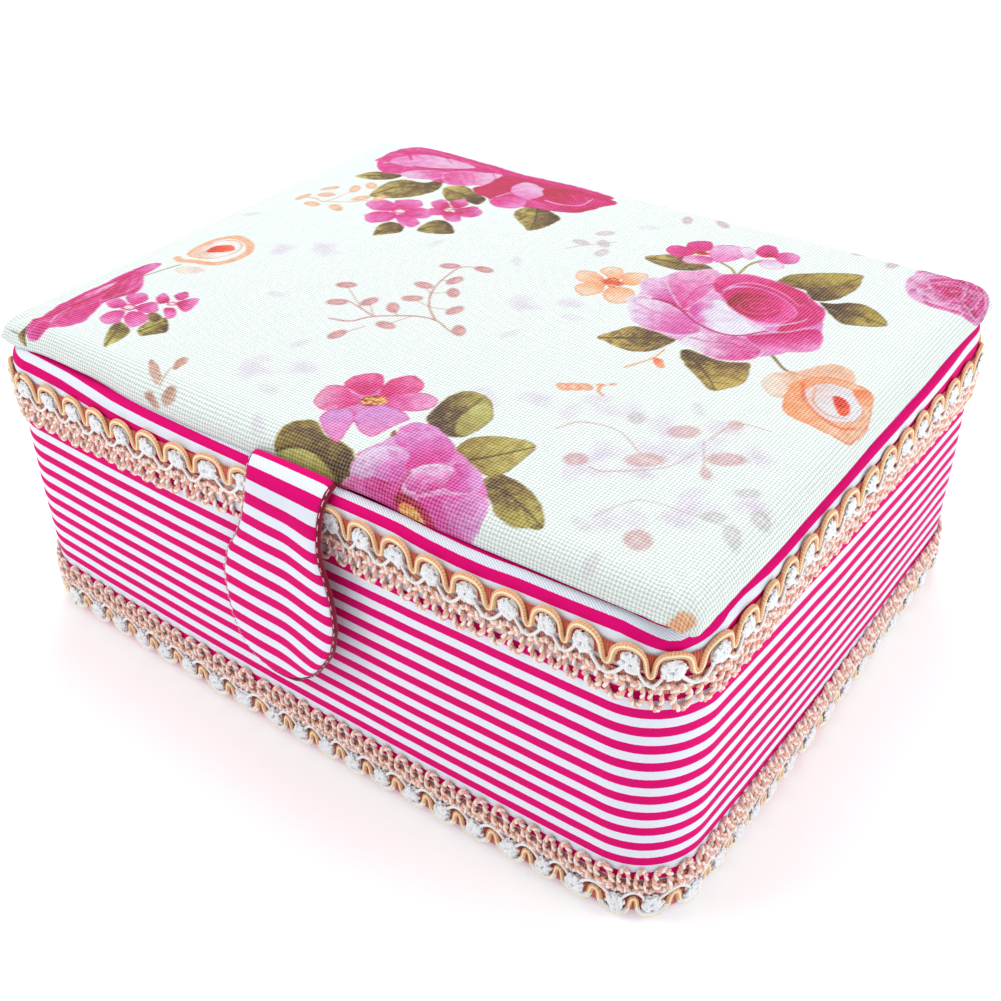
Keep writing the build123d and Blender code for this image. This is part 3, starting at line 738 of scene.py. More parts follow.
            # arch of the inner row
            twisted(lambda t: c0 + P_MM * 0.25 + (t - 0.5) * P_MM * 0.5,
                    lambda t: 12.6 - 2.6 * np.sin(np.pi * t),
                    lambda t: 0.85 + 0.2 * np.sin(np.pi * t), 4, False, 20, 0.42, 0.50)
    mats = {"tan": TAN, "cream": CREAM, "white": WHITE, "tuft": TUFT, "picot_a": PICOT_A, "picot_b": PICOT_B, "ground": GROUND_SHADE, "web": WEB}
    first = None
    for key, b in bags.items():
        v, f, cu, cv = b.arrays()
        s = phase_to_s(ph0 + v[:, 0] / P_MM)
        press = pressed(s)
        z = z_of(s, v[:, 1])
        d = 0.12 + v[:, 2] * press
        pts = wall_point(s, z, d)
        ob = new_mesh(f"{name}_{key}", pts, f if up else f[:, ::-1], {"cu": cu, "cv": cv})
        ob.data.materials.append(mats[key])
        if key == "tan" and not up and len(ob.data.polygons) == len(f):
            # round the foot the gimp's crests are white, and tan only in its troughs
            ob.data.materials.append(WHITE)
            hm = v[f][:, :, 1].mean(1) + 0.5 * np.sin(v[f][:, :, 0].mean(1) * 0.9)
            ob.data.polygons.foreach_set("material_index", (hm < 3.6).astype(np.int32))
        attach(ob, "body")
        if first is None:
            first = ob
            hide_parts(node)
    return first


def press_up(s):
    x, y, _, _ = on_outline(s)
    k = np.where(y < -100, smooth(-27, -19, x) * (1 - smooth(27, 34, x)), 0.0)
    return 1 - 0.5 * k


def z_up(s, h):
    q = (s - BR_T[0, 1]) % OUT_L + BR_T[0, 1]
    return np.interp(q, BR_T[:, 1], BR_T[:, 2]) - h


def z_lo(s, h):
    return 2.5 + h


build_braid("upper_braid", z_up, True, "upper_braid", press_up)
build_braid("lower_braid", z_lo, False, "lower_braid", lambda s: np.ones_like(s))

# =====================================================================
# Lid cover: the linen, mapped from flat cloth over the board's edges
# =====================================================================
LA, LB, LW, LARC = 129.0, 101.0, 7.5, 12.0
FA, FB = LA - LW, LB - LW


def lid_point(X, Y, lift=0.0):
    """Flat cloth coordinates (mm) to the lid's surface at rest."""
    X, Y = np.asarray(X, float), np.asarray(Y, float)
    tx = np.clip(np.abs(X) - FA, 0, None) / LARC * np.pi / 2
    ty = np.clip(np.abs(Y) - FB, 0, None) / LARC * np.pi / 2
    th = np.hypot(tx, ty)
    k = np.where(th > np.pi / 2, (np.pi / 2) / np.maximum(th, 1e-9), 1.0)
    tx, ty, th = tx * k, ty * k, np.minimum(th, np.pi / 2)
    sx, sy = np.sign(X), np.sign(Y)
    x0 = np.clip(np.abs(X), 0, FA)
    y0 = np.clip(np.abs(Y), 0, FB)
    x = sx * (x0 + LW * np.sin(tx))
    y = sy * (y0 + LW * np.sin(ty))
    crown = 1.5 * (1 - (x0 / FA) ** 2) * (1 - (y0 / FB) ** 2) ** 0.9
    top = 112.75 + crown - 0.9 * smooth(95, 129, -x) + 0.14 * noise2(X, Y, 26.0, 21) + 0.10 * noise2(X, Y, 9.0, 22)
    # the lower edge is a little wavy, and sags outwards at the left of the flap
    front = (sy < 0) * smooth(0.2, 1.2, ty)
    rightk = (sx > 0) * smooth(0.2, 1.2, tx)
    sag = smooth(-84, -62, x) * (1 - smooth(-12, 4, x))
    edge = 104.75 + front * (-0.75 * sag - 0.25 * smooth(0, 20, x) * (1 - smooth(60, 90, x))) + rightk * (-0.45 * smooth(-70, -52, y) * (1 - smooth(-30, 0, y)) - 0.5 * smooth(55, 90, y))
    edge = edge + 0.18 * noise2(X, Y, 15.0, 23)
    z = top - (top - edge) * (1 - np.cos(th))
    z = z - 1.25 * smooth(104, 119, -x) * (1 - 0.75 * smooth(121.5, 126, -x))
    y = y - front * (1.7 * sag + 0.35 * noise2(X, X * 0 + 3, 17.0, 24)) * np.sin(ty)
    x = x + rightk * (0.5 + 0.5 * noise2(Y, Y * 0 + 9, 21.0, 25)) * np.sin(tx) * 0.8
    # soft pull folds near the corners
    cr = np.exp(-(((np.abs(x) - 121) / 9.0) ** 2 + ((np.abs(y) - 93) / 9.0) ** 2))
    z = z + cr * 0.25 * np.sin((X * sx - Y * sy) * 0.9)
    return np.stack([x, y, z + lift], -1)


STEP = 0.45
GX = np.arange(-(FA + LARC * 1.06), FA + LARC * 1.06 + STEP, STEP)
GY = np.arange(-(FB + LARC * 1.06), FB + LARC * 1.06 + STEP, STEP)
CX_, CY_ = np.meshgrid(GX, GY, indexing="ij")
INK = np.empty(CX_.shape + (3,))
INK[:] = (247, 252, 251)


def F(p):
    """A point measured on the plane of the lid's top, to flat cloth."""
    x, y = p
    t = min(max((-93.5 - y) / 16.0, 0.0), 1.0)
    X, Y = x - 6.0 * t * t, y if y > -93.5 else -93.5 - (-93.5 - y) * 0.75
    if X > FA:
        t = min((X - FA) / 14.3, 1.0)
        Y = Y + 7.5 * t * t
        X = FA + (X - FA) * 0.84
    return (X, Y)


def FF(pts):
    return [F(p) for p in pts]


def window(x0, x1, y0, y1, pad=1.5):
    i0, i1 = np.searchsorted(GX, x0 - pad), np.searchsorted(GX, x1 + pad)
    j0, j1 = np.searchsorted(GY, y0 - pad), np.searchsorted(GY, y1 + pad)
    return slice(max(i0, 0), max(i1, 0)), slice(max(j0, 0), max(j1, 0))


def lay(win, mask, color):
    """Blend a colour (3 numbers or an array) into the print."""
    c = np.asarray(color, float)
    a = np.clip(mask, 0, 1)[..., None]
    INK[win] = INK[win] * (1 - a) + c * a


def wet(x, y, seed, scale=3.0):
    return 0.5 + 0.5 * (0.6 * noise2(x, y, scale, seed) + 0.4 * noise2(x, y, scale * 0.37, seed + 1))


def mixc(a, b, t):
    a, b = np.asarray(a, float), np.asarray(b, float)
    t = np.clip(t, 0, 1)[..., None]
    return a * (1 - t) + b * t


def ellipse(c, rx, ry, ang, col_in, col_out, alpha=1.0, soft=0.35, seed=1):
    c = F(c)
    r = max(rx, ry)
    w = window(c[0] - r, c[0] + r, c[1] - r, c[1] + r)
    x, y = CX_[w] - c[0], CY_[w] - c[1]
    if x.size == 0:
        return
    ca, sa = math.cos(ang), math.sin(ang)
    u, v = (x * ca + y * sa) / rx, (-x * sa + y * ca) / ry
    q = np.hypot(u, v)
    n = wet(CX_[w], CY_[w], seed)
    m = 1 - smooth(1 - soft / min(rx, ry), 1 + soft / min(rx, ry), q + 0.10 * (n - 0.5))
    lay(w, m * alpha, mixc(col_in, col_out, q * 0.9 + 0.5 * (n - 0.5)))


def petal(base, tip, width, c_base, c_tip, rim=None, alpha=1.0, seed=1, broad=0.62, raw=False, crease=0.0, shade=0.0):
    """A rounded petal from base to tip, darker at its base, with a thin bright rim."""
    b, t = (base, tip) if raw else (F(base), F(tip))
    b, t = np.array(b, float), np.array(t, float)
    ln = np.linalg.norm(t - b) + 1e-6
    d = (t - b) / ln
    r = ln + width
    w = window(min(b[0], t[0]) - width, max(b[0], t[0]) + width, min(b[1], t[1]) - width, max(b[1], t[1]) + width)
    x, y = CX_[w] - b[0], CY_[w] - b[1]
    if x.size == 0:
        return
    u = (x * d[0] + y * d[1]) / ln
    v = (-x * d[1] + y * d[0]) / (width / 2)
    n = wet(CX_[w], CY_[w], seed, 2.4)
    uu = np.clip(u, 0, 1)
    prof = np.where(uu < broad, np.sin(uu / broad * np.pi / 2) ** 0.75, np.sqrt(np.clip(1 - ((uu - broad) / (1 - broad)) ** 2, 0, 1)))
    e = np.abs(v) / np.maximum(prof, 1e-3)
    inside = (1 - smooth(0.93, 1.04, e + 0.10 * (n - 0.5))) * (u > 0) * (u < 1)
    g = np.clip(u * 0.95 + 0.35 * (n - 0.5), 0, 1)
    col = mixc(c_base, c_tip, g ** 1.1)
    if crease:
        k = np.exp(-(v / 0.16) ** 2) * (1 - smooth(0.55, 0.95, u))
        col = mixc(col, np.asarray(c_base, float) * 0.82, k * crease)
    if shade:
        k = smooth(0.35, 0.95, -v) * smooth(0.1, 0.5, u)
        col = mixc(col, np.asarray(c_base, float) * 0.8, k * shade)
    if rim is not None:
        q = np.maximum(e, np.where(u > broad, np.hypot((u - broad) / (1 - broad), v), 0))
        col = mixc(col, rim, smooth(0.80, 0.95, q) * smooth(0.25, 0.6, u) * 0.9)
    lay(w, inside * alpha, col)


def stroke(pts, w0, w1, col, alpha=1.0, seed=1, raw=False):
    pts = np.array(pts if raw else FF(pts), float)
    if len(pts) > 2:
        q = np.concatenate([[2 * pts[0] - pts[1]], pts, [2 * pts[-1] - pts[-2]]])
        out = []
        for i in range(len(pts) - 1):
            a, b, c, d = q[i:i + 4]
            for u in np.linspace(0, 1, 8, endpoint=False):
                out.append(0.5 * ((2 * b) + (-a + c) * u + (2 * a - 5 * b + 4 * c - d) * u * u + (-a + 3 * b - 3 * c + d) * u**3))
        pts = np.array(out + [pts[-1]])
    m = max(w0, w1)
    w = window(pts[:, 0].min() - m, pts[:, 0].max() + m, pts[:, 1].min() - m, pts[:, 1].max() + m)
    x, y = CX_[w], CY_[w]
    if x.size == 0:
        return
    best = np.full(x.shape, -9.0)
    L = len(pts) - 1
    for i in range(L):
        a, b = pts[i], pts[i + 1]
        ab = b - a
        t = np.clip(((x - a[0]) * ab[0] + (y - a[1]) * ab[1]) / (ab @ ab + 1e-9), 0, 1)
        dist = np.hypot(x - a[0] - ab[0] * t, y - a[1] - ab[1] * t)
        wd = w0 + (w1 - w0) * (i + t) / L
        best = np.maximum(best, wd / 2 - dist)
    n = wet(x, y, seed, 1.6)
    lay(w, smooth(-0.28, 0.28, best) * alpha * (0.75 + 0.25 * n), col)


def closed(pts, n=7):
    p = np.asarray(pts, float)
    k = len(p)
    out = []
    for i in range(k):
        a, b, c, d = p[(i - 1) % k], p[i], p[(i + 1) % k], p[(i + 2) % k]
        for u in np.linspace(0, 1, n, endpoint=False):
            out.append(0.5 * ((2 * b) + (-a + c) * u + (2 * a - 5 * b + 4 * c - d) * u * u + (-a + 3 * b - 3 * c + d) * u**3))
    return np.array(out)


def shape(pts, c0, c1, frm=None, to=None, rim=None, rw=1.3, alpha=1.0, seed=1, rough=0.5, ends=(0.0, 1.0), blotch=0.0):
    """A closed brush shape. Its colour runs from c0 to c1 between two of its points, broken up like paint on cloth."""
    q = closed(pts)
    w = window(q[:, 0].min(), q[:, 0].max(), q[:, 1].min(), q[:, 1].max())
    x, y = CX_[w], CY_[w]
    if x.size == 0:
        return
    n = wet(x, y, seed, 2.2)
    jx = x + (n - 0.5) * 0.7
    jy = y + (wet(x, y, seed + 9, 2.0) - 0.5) * 0.7
    inside = np.zeros(x.shape, bool)
    dist = np.full(x.shape, 1e9)
    m = len(q)
    for i in range(m):
        a, b = q[i], q[(i + 1) % m]
        if abs(b[1] - a[1]) > 1e-9:
            hit = ((a[1] > jy) != (b[1] > jy)) & (jx < (b[0] - a[0]) * (jy - a[1]) / (b[1] - a[1]) + a[0])
            inside ^= hit
        ab = b - a
        t = np.clip(((jx - a[0]) * ab[0] + (jy - a[1]) * ab[1]) / (ab @ ab + 1e-9), 0, 1)
        dist = np.minimum(dist, np.hypot(jx - a[0] - ab[0] * t, jy - a[1] - ab[1] * t))
    sd = np.where(inside, dist, -dist)
    f = np.asarray(frm if frm is not None else q[0], float)
    t = np.asarray(to if to is not None else q[m // 2], float)
    d = t - f
    g = ((x - f[0]) * d[0] + (y - f[1]) * d[1]) / (d @ d + 1e-9)
    g = smooth(ends[0], ends[1], g + rough * 0.6 * (n - 0.5))
    col = mixc(c0, c1, g)
    if blotch:
        k = smooth(0.52, 0.70, wet(x, y, seed + 21, 3.4))
        col = mixc(col, c0, k * blotch)
        k = smooth(0.55, 0.72, wet(x, y, seed + 33, 1.9))
        col = mixc(col, c1, k * blotch)
    if rim is not None:
        col = mixc(col, rim, (1 - smooth(0.15, rw, sd + 0.5 * (n - 0.5))) * 0.85)
    lay(w, smooth(-0.2, 0.25, sd) * alpha, col)


def crop(ox, oy, k):
    """Maps points of an enlarged part of the view to flat cloth."""
    return lambda *pts: [F(plan_px(ox + a / k, oy + b / k)) for a, b in pts]


OL_D, OL_M, OL_L = (84, 68, 34), (142, 130, 72), (196, 192, 128)


def leaf(base, tip, width, seed=1, tones=None, alpha=1.0, bend=0.0, split=0.55):
    """A rose leaf: one half light, the other dark, with a midrib and side veins and a toothed edge."""
    dk, md, lt = tones or (OL_D, OL_M, OL_L)
    b, t = np.array(F(base), float), np.array(F(tip), float)
    ln = np.linalg.norm(t - b) + 1e-6
    d = (t - b) / ln
    w = window(min(b[0], t[0]) - width, max(b[0], t[0]) + width, min(b[1], t[1]) - width, max(b[1], t[1]) + width)
    x, y = CX_[w] - b[0], CY_[w] - b[1]
    if x.size == 0:
        return
    u = (x * d[0] + y * d[1]) / ln
    v = (-x * d[1] + y * d[0]) / (width / 2)
    v = v - bend * 4 * u * (1 - u)
    uu = np.clip(u, 0, 1)
    n = wet(CX_[w], CY_[w], seed, 2.6)
    prof = np.sin(np.pi * uu ** 0.82) ** 0.72 * (1 - 0.10 * uu)
    tooth = 0.05 * np.sin(u * ln * 2.6)
    e = np.abs(v) / np.maximum(prof, 1e-3) + tooth
    inside = (1 - smooth(0.92, 1.05, e + 0.08 * (n - 0.5))) * (u > 0) * (u < 1)
    side = smooth(-0.08, 0.08, v)
    base_c = mixc(mixc(md, lt, 0.25 + 0.9 * n * split + 0.25 * uu), mixc(dk, md, 0.15 + 0.75 * n), side)
    vein = np.abs(((u * 5.0 - np.abs(v) * 1.1) % 1.0) - 0.5)
    base_c = mixc(base_c, dk, (1 - smooth(0.0, 0.13, vein)) * 0.55)
    base_c = mixc(base_c, lt, (1 - smooth(0.02, 0.10, np.abs(vein - 0.2))) * 0.22)
    base_c = mixc(base_c, dk, (1 - smooth(0.03, 0.11, np.abs(v))) * 0.75)
    base_c = mixc(base_c, dk, smooth(0.80, 1.0, e) * 0.35)
    lay(w, inside * alpha, base_c)


P_D, P_M, P_L, P_W = (176, 16, 84), (214, 84, 152), (240, 186, 222), (242, 230, 246)
K_D, K_M, K_L, K_W = (222, 110, 70), (245, 178, 138), (251, 218, 196), (253, 240, 228)


def ellipse_raw(c, rx, ry, ang, col_in, col_out, alpha=1.0, seed=1):
    w = window(c[0] - rx - ry, c[0] + rx + ry, c[1] - rx - ry, c[1] + rx + ry)
    x, y = CX_[w] - c[0], CY_[w] - c[1]
    if x.size == 0:
        return
    ca, sa = math.cos(ang), math.sin(ang)
    q = np.hypot((x * ca + y * sa) / rx, (-x * sa + y * ca) / ry)
    n = wet(CX_[w], CY_[w], seed, 1.5)
    lay(w, (1 - smooth(0.75, 1.15, q + 0.2 * (n - 0.5))) * alpha, mixc(col_in, col_out, q + 0.5 * (n - 0.5)))


def five(center, radius, tilt, tones, seed=1, squash=0.9, n=5, heart=(206, 120, 60), wide=1.05, spots=True):
    """A small open blossom of n round petals."""
    dk, md, lt = tones
    cx, cy = F(center)
    r = np.random.default_rng(seed)
    for k in range(n):
        a = tilt + 2 * math.pi * k / n + r.uniform(-0.1, 0.1)
        rr = radius * r.uniform(0.92, 1.06)
        tip = (cx + rr * math.cos(a), cy + rr * squash * math.sin(a))
        petal((cx, cy), tip, radius * wide, dk, md, lt, seed=seed * 7 + k, broad=0.66, raw=True, crease=0.7, shade=0.45)
    for k in range(n):
        a = tilt + 2 * math.pi * k / n
        stroke([(cx, cy), (cx + 0.55 * radius * math.cos(a), cy + 0.55 * radius * squash * math.sin(a))], 0.9, 0.25, np.asarray(dk) * 0.85, 0.75, seed + k, raw=True)
    if spots:
        for k in range(7):
            a = 2 * math.pi * k / 7 + r.uniform(-0.2, 0.2)
            q = radius * r.uniform(0.10, 0.20)
            w = window(cx - radius, cx + radius, cy - radius, cy + radius)
            m = 1 - smooth(0.3, 0.62, np.hypot(CX_[w] - cx - q * math.cos(a), CY_[w] - cy - q * math.sin(a)) / 0.9)
            lay(w, m * 0.9, heart if k % 2 else (250, 226, 150))


def rose(center, outline, tones, seed=1, heart=None, rings=None, glow=None):
    """A full rose: an outer skirt of broad petals that follows the outline, rings of smaller ones, and a curled heart."""
    dk, md, lt, wh = tones
    cx, cy = F(center)
    out = np.array(FF(outline), float) - (cx, cy)
    ang = np.arctan2(out[:, 1], out[:, 0])
    rad = np.hypot(out[:, 0], out[:, 1])
    o = np.argsort(ang)
    ang, rad = ang[o], rad[o]
    A = np.concatenate([ang - 2 * np.pi, ang, ang + 2 * np.pi])
    Rr = np.tile(rad, 3)
    reach = lambda a: float(np.interp(((a + np.pi) % (2 * np.pi)) - np.pi, A, Rr))
    r = np.random.default_rng(seed)
    rings = rings or [(1.0, 9, 0.95), (0.80, 7, 0.9), (0.60, 6, 0.85), (0.43, 5, 0.85), (0.29, 4, 0.9)]
    for q, (share, n, wide) in enumerate(rings):
        off = r.uniform(0, 6.28)
        order = r.permutation(n)
        for k in order:
            a = off + 2 * math.pi * k / n + r.uniform(-0.12, 0.12)
            R = reach(a) * share * r.uniform(0.95, 1.04)
            tip = (cx + R * math.cos(a), cy + R * math.sin(a))
            bs = (cx + 0.10 * R * math.cos(a), cy + 0.10 * R * math.sin(a))
            wdt = 2 * math.pi * R / n * 1.45 * wide
            t = 0.15 + 0.75 * r.random()
            cb = np.asarray(dk) * (1 - 0.25 * t) + np.asarray(md) * 0.25 * t
            ct = np.asarray(md) * (1 - t) + np.asarray(lt) * t
            if glow is not None and math.cos(a - glow) > 0.35 and q < 3:
                ct = np.asarray(lt) * 0.45 + np.asarray(wh) * 0.55
                cb = np.asarray(md) * 0.75 + np.asarray(dk) * 0.25
            petal(bs, tip, wdt, cb, ct, np.asarray(lt) * 0.6 + np.asarray(wh) * 0.4, seed=seed * 31 + 7 * q + k, broad=0.72, raw=True, crease=0.25, shade=0.5)
            # a darker brush line along one side of each petal
            s1 = a + 0.5 * wdt / max(R, 1e-3) * 0.8
            stroke([(cx + 0.5 * R * math.cos(s1), cy + 0.5 * R * math.sin(s1)), (cx + 0.8 * R * math.cos(s1 - 0.05), cy + 0.8 * R * math.sin(s1 - 0.05)),
                    (cx + 0.96 * R * math.cos(s1 - 0.14), cy + 0.96 * R * math.sin(s1 - 0.14))], 0.9, 0.2, np.asarray(dk) * 0.95, 0.55, seed + k, raw=True)
    hx, hy = F(heart) if heart is not None else (cx, cy)
    R = reach(0) * 0.22
    for k in range(3):
        a0 = r.uniform(0, 6.28)
        t = np.linspace(0, 4.2, 9)
        rr = R * (0.9 - 0.17 * t) * (1 - 0.25 * k)
        stroke(np.stack([hx + rr * np.cos(a0 + t), hy + rr * 0.85 * np.sin(a0 + t)], -1).tolist(), 1.1, 0.5, dk if k % 2 == 0 else np.asarray(lt), 0.85, seed + 50 + k, raw=True)


SOFT = ((196, 186, 168), (222, 212, 196), (240, 232, 222))


def paint():
    # faint background sprays first
    lav, dusty = (226, 208, 226), (206, 158, 158)
    for c, a in (((80.8, -64.7), 0.3), ((85.2, -51.9), 1.0), ((89.4, -35.1), 0.5), ((103.1, -40.6), 0.2), ((100.5, -77.7), 0.8), ((-27.8, -75.8), 0.4),
                 ((-74.5, -7.4), 1.2), ((40, -52), 0.6), ((16, 2), 0.5), ((66, -40), 0.1), ((112, -62), 0.4)):
        for k in range(5):
            o = (c[0] + 9 * math.cos(a + k * 1.9), c[1] + 6 * math.sin(a * 2 + k * 2.3))
            ellipse(o, 5.2, 3.0, a + k * 0.8, (232, 216, 236), (240, 232, 244), 0.55, 1.2, seed=60 + k)
    # centre sprig, dusty rose
    st = (200, 146, 140)
    stroke([(-33.5, -42.7), (-26.7, -40.5), (-22.5, -34.1), (-12.5, -27.2), (-4.5, -25.4), (2.1, -27.9), (5.7, -28.9)], 1.1, 0.7, st, 0.85, 61)
    stroke([(-4.5, -25.4), (-11.6, -19.4), (-16.9, -11.8), (-20.1, -2.3), (-20.5, 9.6), (-13.3, 12.3)], 0.9, 0.6, st, 0.85, 62)
    stroke([(-22.5, -34.1), (-28.9, -32.3), (-37.3, -30.6), (-41, -34.3)], 0.8, 0.6, st, 0.8, 63)
    for k, c in enumerate([(-44.5, -22), (-30.3, -27.1), (-21.3, -26), (-15.6, -36.5), (-20.1, -17.7), (-3.4, -16.9), (5.7, -26.6), (-22.9, -8.1), (-24.5, 8.2),
                           (-16.4, 0.2), (-11.3, -7.3), (-13.3, 12.3), (-39, -33), (-24.4, -49.4)]):
        ellipse(c, 3.5, 2.1, 0.5 + 0.9 * (k % 4), (222, 170, 170), (196, 132, 136), 0.85, 0.5, seed=70 + k)
        ellipse((c[0] + 0.9, c[1] + 0.5), 1.6, 0.9, 0.5 + 0.9 * (k % 4), (240, 208, 206), (226, 182, 182), 0.7, 0.5, seed=90 + k)
    stroke([(-24.4, -49.4), (-20.5, -40.5)], 0.6, 0.6, st, 0.6, 64)
    # small branches to the buds
    for a, b in (((-28.9, -32.3), (-44.5, -22)), ((-22.5, -34.1), (-30.3, -27.1)), ((-16.5, -29.6), (-21.3, -26)), ((-12.5, -27.2), (-15.6, -36.5)),
                 ((-11.6, -19.4), (-20.1, -17.7)), ((-11.6, -19.4), (-3.4, -16.9)), ((-16.9, -11.8), (-22.9, -8.1)), ((-17.2, -11), (-11.3, -7.3)), ((-20.1, -2.3), (-16.4, 0.2))):
        stroke([a, b], 0.55, 0.45, st, 0.7, 65)
    # faint spray at the lower right
    fa = (214, 176, 174)
    pts = lambda *q: [plan_px(*p) for p in q]
    stroke(pts((556.6, 428), (581.5, 422), (618, 430), (640, 452)), 0.9, 0.6, fa, 0.6, 66)
    stroke(pts((709, 439), (737, 423), (772, 430)), 0.8, 0.6, fa, 0.6, 67)
    stroke(pts((590, 466), (606, 470), (664, 466), (697, 451)), 0.8, 0.6, fa, 0.65, 68)
    stroke(pts((704, 441), (704, 455), (704, 473)), 0.7, 0.6, fa, 0.6, 69)
    stroke(pts((595, 514), (620, 503), (643, 498), (683, 509), (742, 530)), 0.8, 0.6, (214, 190, 190), 0.55, 70)
    for x0, x1, y0, y1, cc in ((668, 701, 424, 438, 0), (563, 588, 451, 465, 0), (624, 666, 451, 466, 0), (706, 747, 451, 465, 0), (623, 653, 526, 549, 0), (728, 744, 419, 429, 0),
                               (734, 761, 486, 496, 1), (702, 727, 509, 521, 1), (752, 775, 509, 526, 1), (724, 742, 521, 547, 1), (628, 644, 412, 424, 1), (700, 712, 465, 478, 0)):
        a, b, c, d = plan_px(x0, (y0 + y1) / 2), plan_px(x1, (y0 + y1) / 2), plan_px((x0 + x1) / 2, y0), plan_px((x0 + x1) / 2, y1)
        cx, cy = (a[0] + b[0]) / 2, (a[1] + b[1]) / 2
        rx, ry = math.dist(a, b) / 2, math.dist(c, d) / 2
        ang = math.atan2(b[1] - a[1], b[0] - a[0])
        ci, co = ((232, 192, 192), (212, 160, 162)) if cc == 0 else ((222, 212, 214), (198, 188, 188))
        ellipse((cx, cy), rx, ry * 0.9, ang, ci, co, 0.62, 0.8, seed=int(x0))
    # ---- rose at the right ----
    C = crop(560, 230, 4.612)
    one_ = lambda c, x, y: c((x, y))[0]
    one = lambda x, y: C((x, y))[0]
    ld, lm, ll = (86, 60, 28), (146, 118, 62), (196, 178, 112)
    D, MD, MM, LL, PP, WW = (182, 10, 84), (206, 48, 128), (218, 92, 158), (236, 152, 204), (242, 198, 228), (243, 232, 246)
    shape(C((390, 130), (440, 118), (520, 115), (600, 135), (680, 165), (700, 185), (620, 190), (540, 188), (470, 170), (420, 150)), ll, ld, one(400, 130), one(660, 180), ld, 0.5, seed=301, blotch=0.5)
    stroke(C((400, 133), (500, 145), (600, 165), (690, 182)), 0.9, 0.5, ld, 0.8, 302, raw=True)
    shape(C((1000, 240), (1060, 205), (1150, 195), (1280, 192), (1390, 200), (1395, 225), (1370, 265), (1290, 310), (1210, 325), (1160, 315), (1140, 280), (1080, 262)), (184, 164, 92), (98, 72, 34), one(1250, 195), one(1210, 310), (120, 96, 44), 0.6, seed=303, blotch=0.45)
    shape(C((1140, 275), (1230, 262), (1320, 262), (1360, 262), (1290, 308), (1210, 322), (1160, 312)), (84, 60, 30), (166, 142, 78), one(1150, 290), one(1350, 275), None, seed=304, blotch=0.5)
    stroke(C((1010, 245), (1150, 265), (1280, 255), (1385, 215)), 0.8, 0.4, ld, 0.85, 305, raw=True)
    for k in range(4):
        stroke(C((1170 + 50 * k, 265 - 6 * k), (1200 + 55 * k, 300 - 10 * k)), 0.5, 0.3, ld, 0.7, 306, raw=True)
    shape(C((1200, 330), (1260, 335), (1340, 330), (1420, 345), (1480, 385), (1512, 430), (1460, 440), (1380, 435), (1300, 425), (1250, 390), (1215, 350)), (80, 56, 28), (178, 156, 84), one(1230, 350), one(1440, 400), (110, 84, 40), 0.5, seed=307, blotch=0.5, ends=(0.2, 1.0))
    stroke(C((1220, 345), (1300, 365), (1400, 395), (1500, 430)), 0.8, 0.4, (60, 40, 20), 0.9, 308, raw=True)
    for k in range(4):
        stroke(C((1270 + 50 * k, 358 + 12 * k), (1330 + 45 * k, 348 + 16 * k)), 0.5, 0.3, ld, 0.6, 309, raw=True)
    shape(C((170, 500), (240, 475), (330, 450), (420, 465), (500, 490), (555, 490), (530, 515), (470, 545), (390, 565), (310, 560), (240, 535), (200, 515)), (200, 178, 110), (88, 62, 30), one(190, 500), one(500, 500), (130, 102, 52), 0.5, seed=310, blotch=0.55)
    stroke(C((185, 502), (300, 503), (420, 500), (540, 495)), 0.8, 0.6, (66, 44, 20), 0.85, 311, raw=True)
    for k in range(4):
        stroke(C((260 + 60 * k, 503), (300 + 58 * k, 480)), 0.5, 0.3, ld, 0.6, 312, raw=True)
        stroke(C((260 + 60 * k, 503), (310 + 55 * k, 535)), 0.5, 0.3, ld, 0.6, 313, raw=True)
    shape(C((555, 560), (600, 555), (680, 585), (780, 610), (870, 612), (875, 650), (850, 700), (790, 725), (700, 740), (640, 690), (590, 640), (560, 600)), (92, 66, 30), (196, 172, 104), one(640, 570), one(740, 730), (150, 124, 64), 0.5, seed=314, blotch=0.55)
    stroke(C((570, 562), (640, 625), (690, 690), (715, 735)), 0.8, 0.5, (66, 44, 20), 0.85, 315, raw=True)
    for k in range(4):
        stroke(C((610 + 28 * k, 600 + 34 * k), (700 + 34 * k, 606 + 34 * k)), 0.5, 0.3, ld, 0.6, 316, raw=True)
    stroke(C((930, 545), (980, 580), (1040, 640), (1130, 668)), 1.2, 0.9, (112, 84, 36), 0.95, 317, raw=True)
    stroke(C((745, 152), (790, 178), (808, 206)), 1.1, 0.9, (150, 118, 52), 0.9, 318, raw=True)
    stroke(C((935, 135), (870, 160), (822, 206)), 1.1, 0.9, (150, 118, 52), 0.9, 319, raw=True)
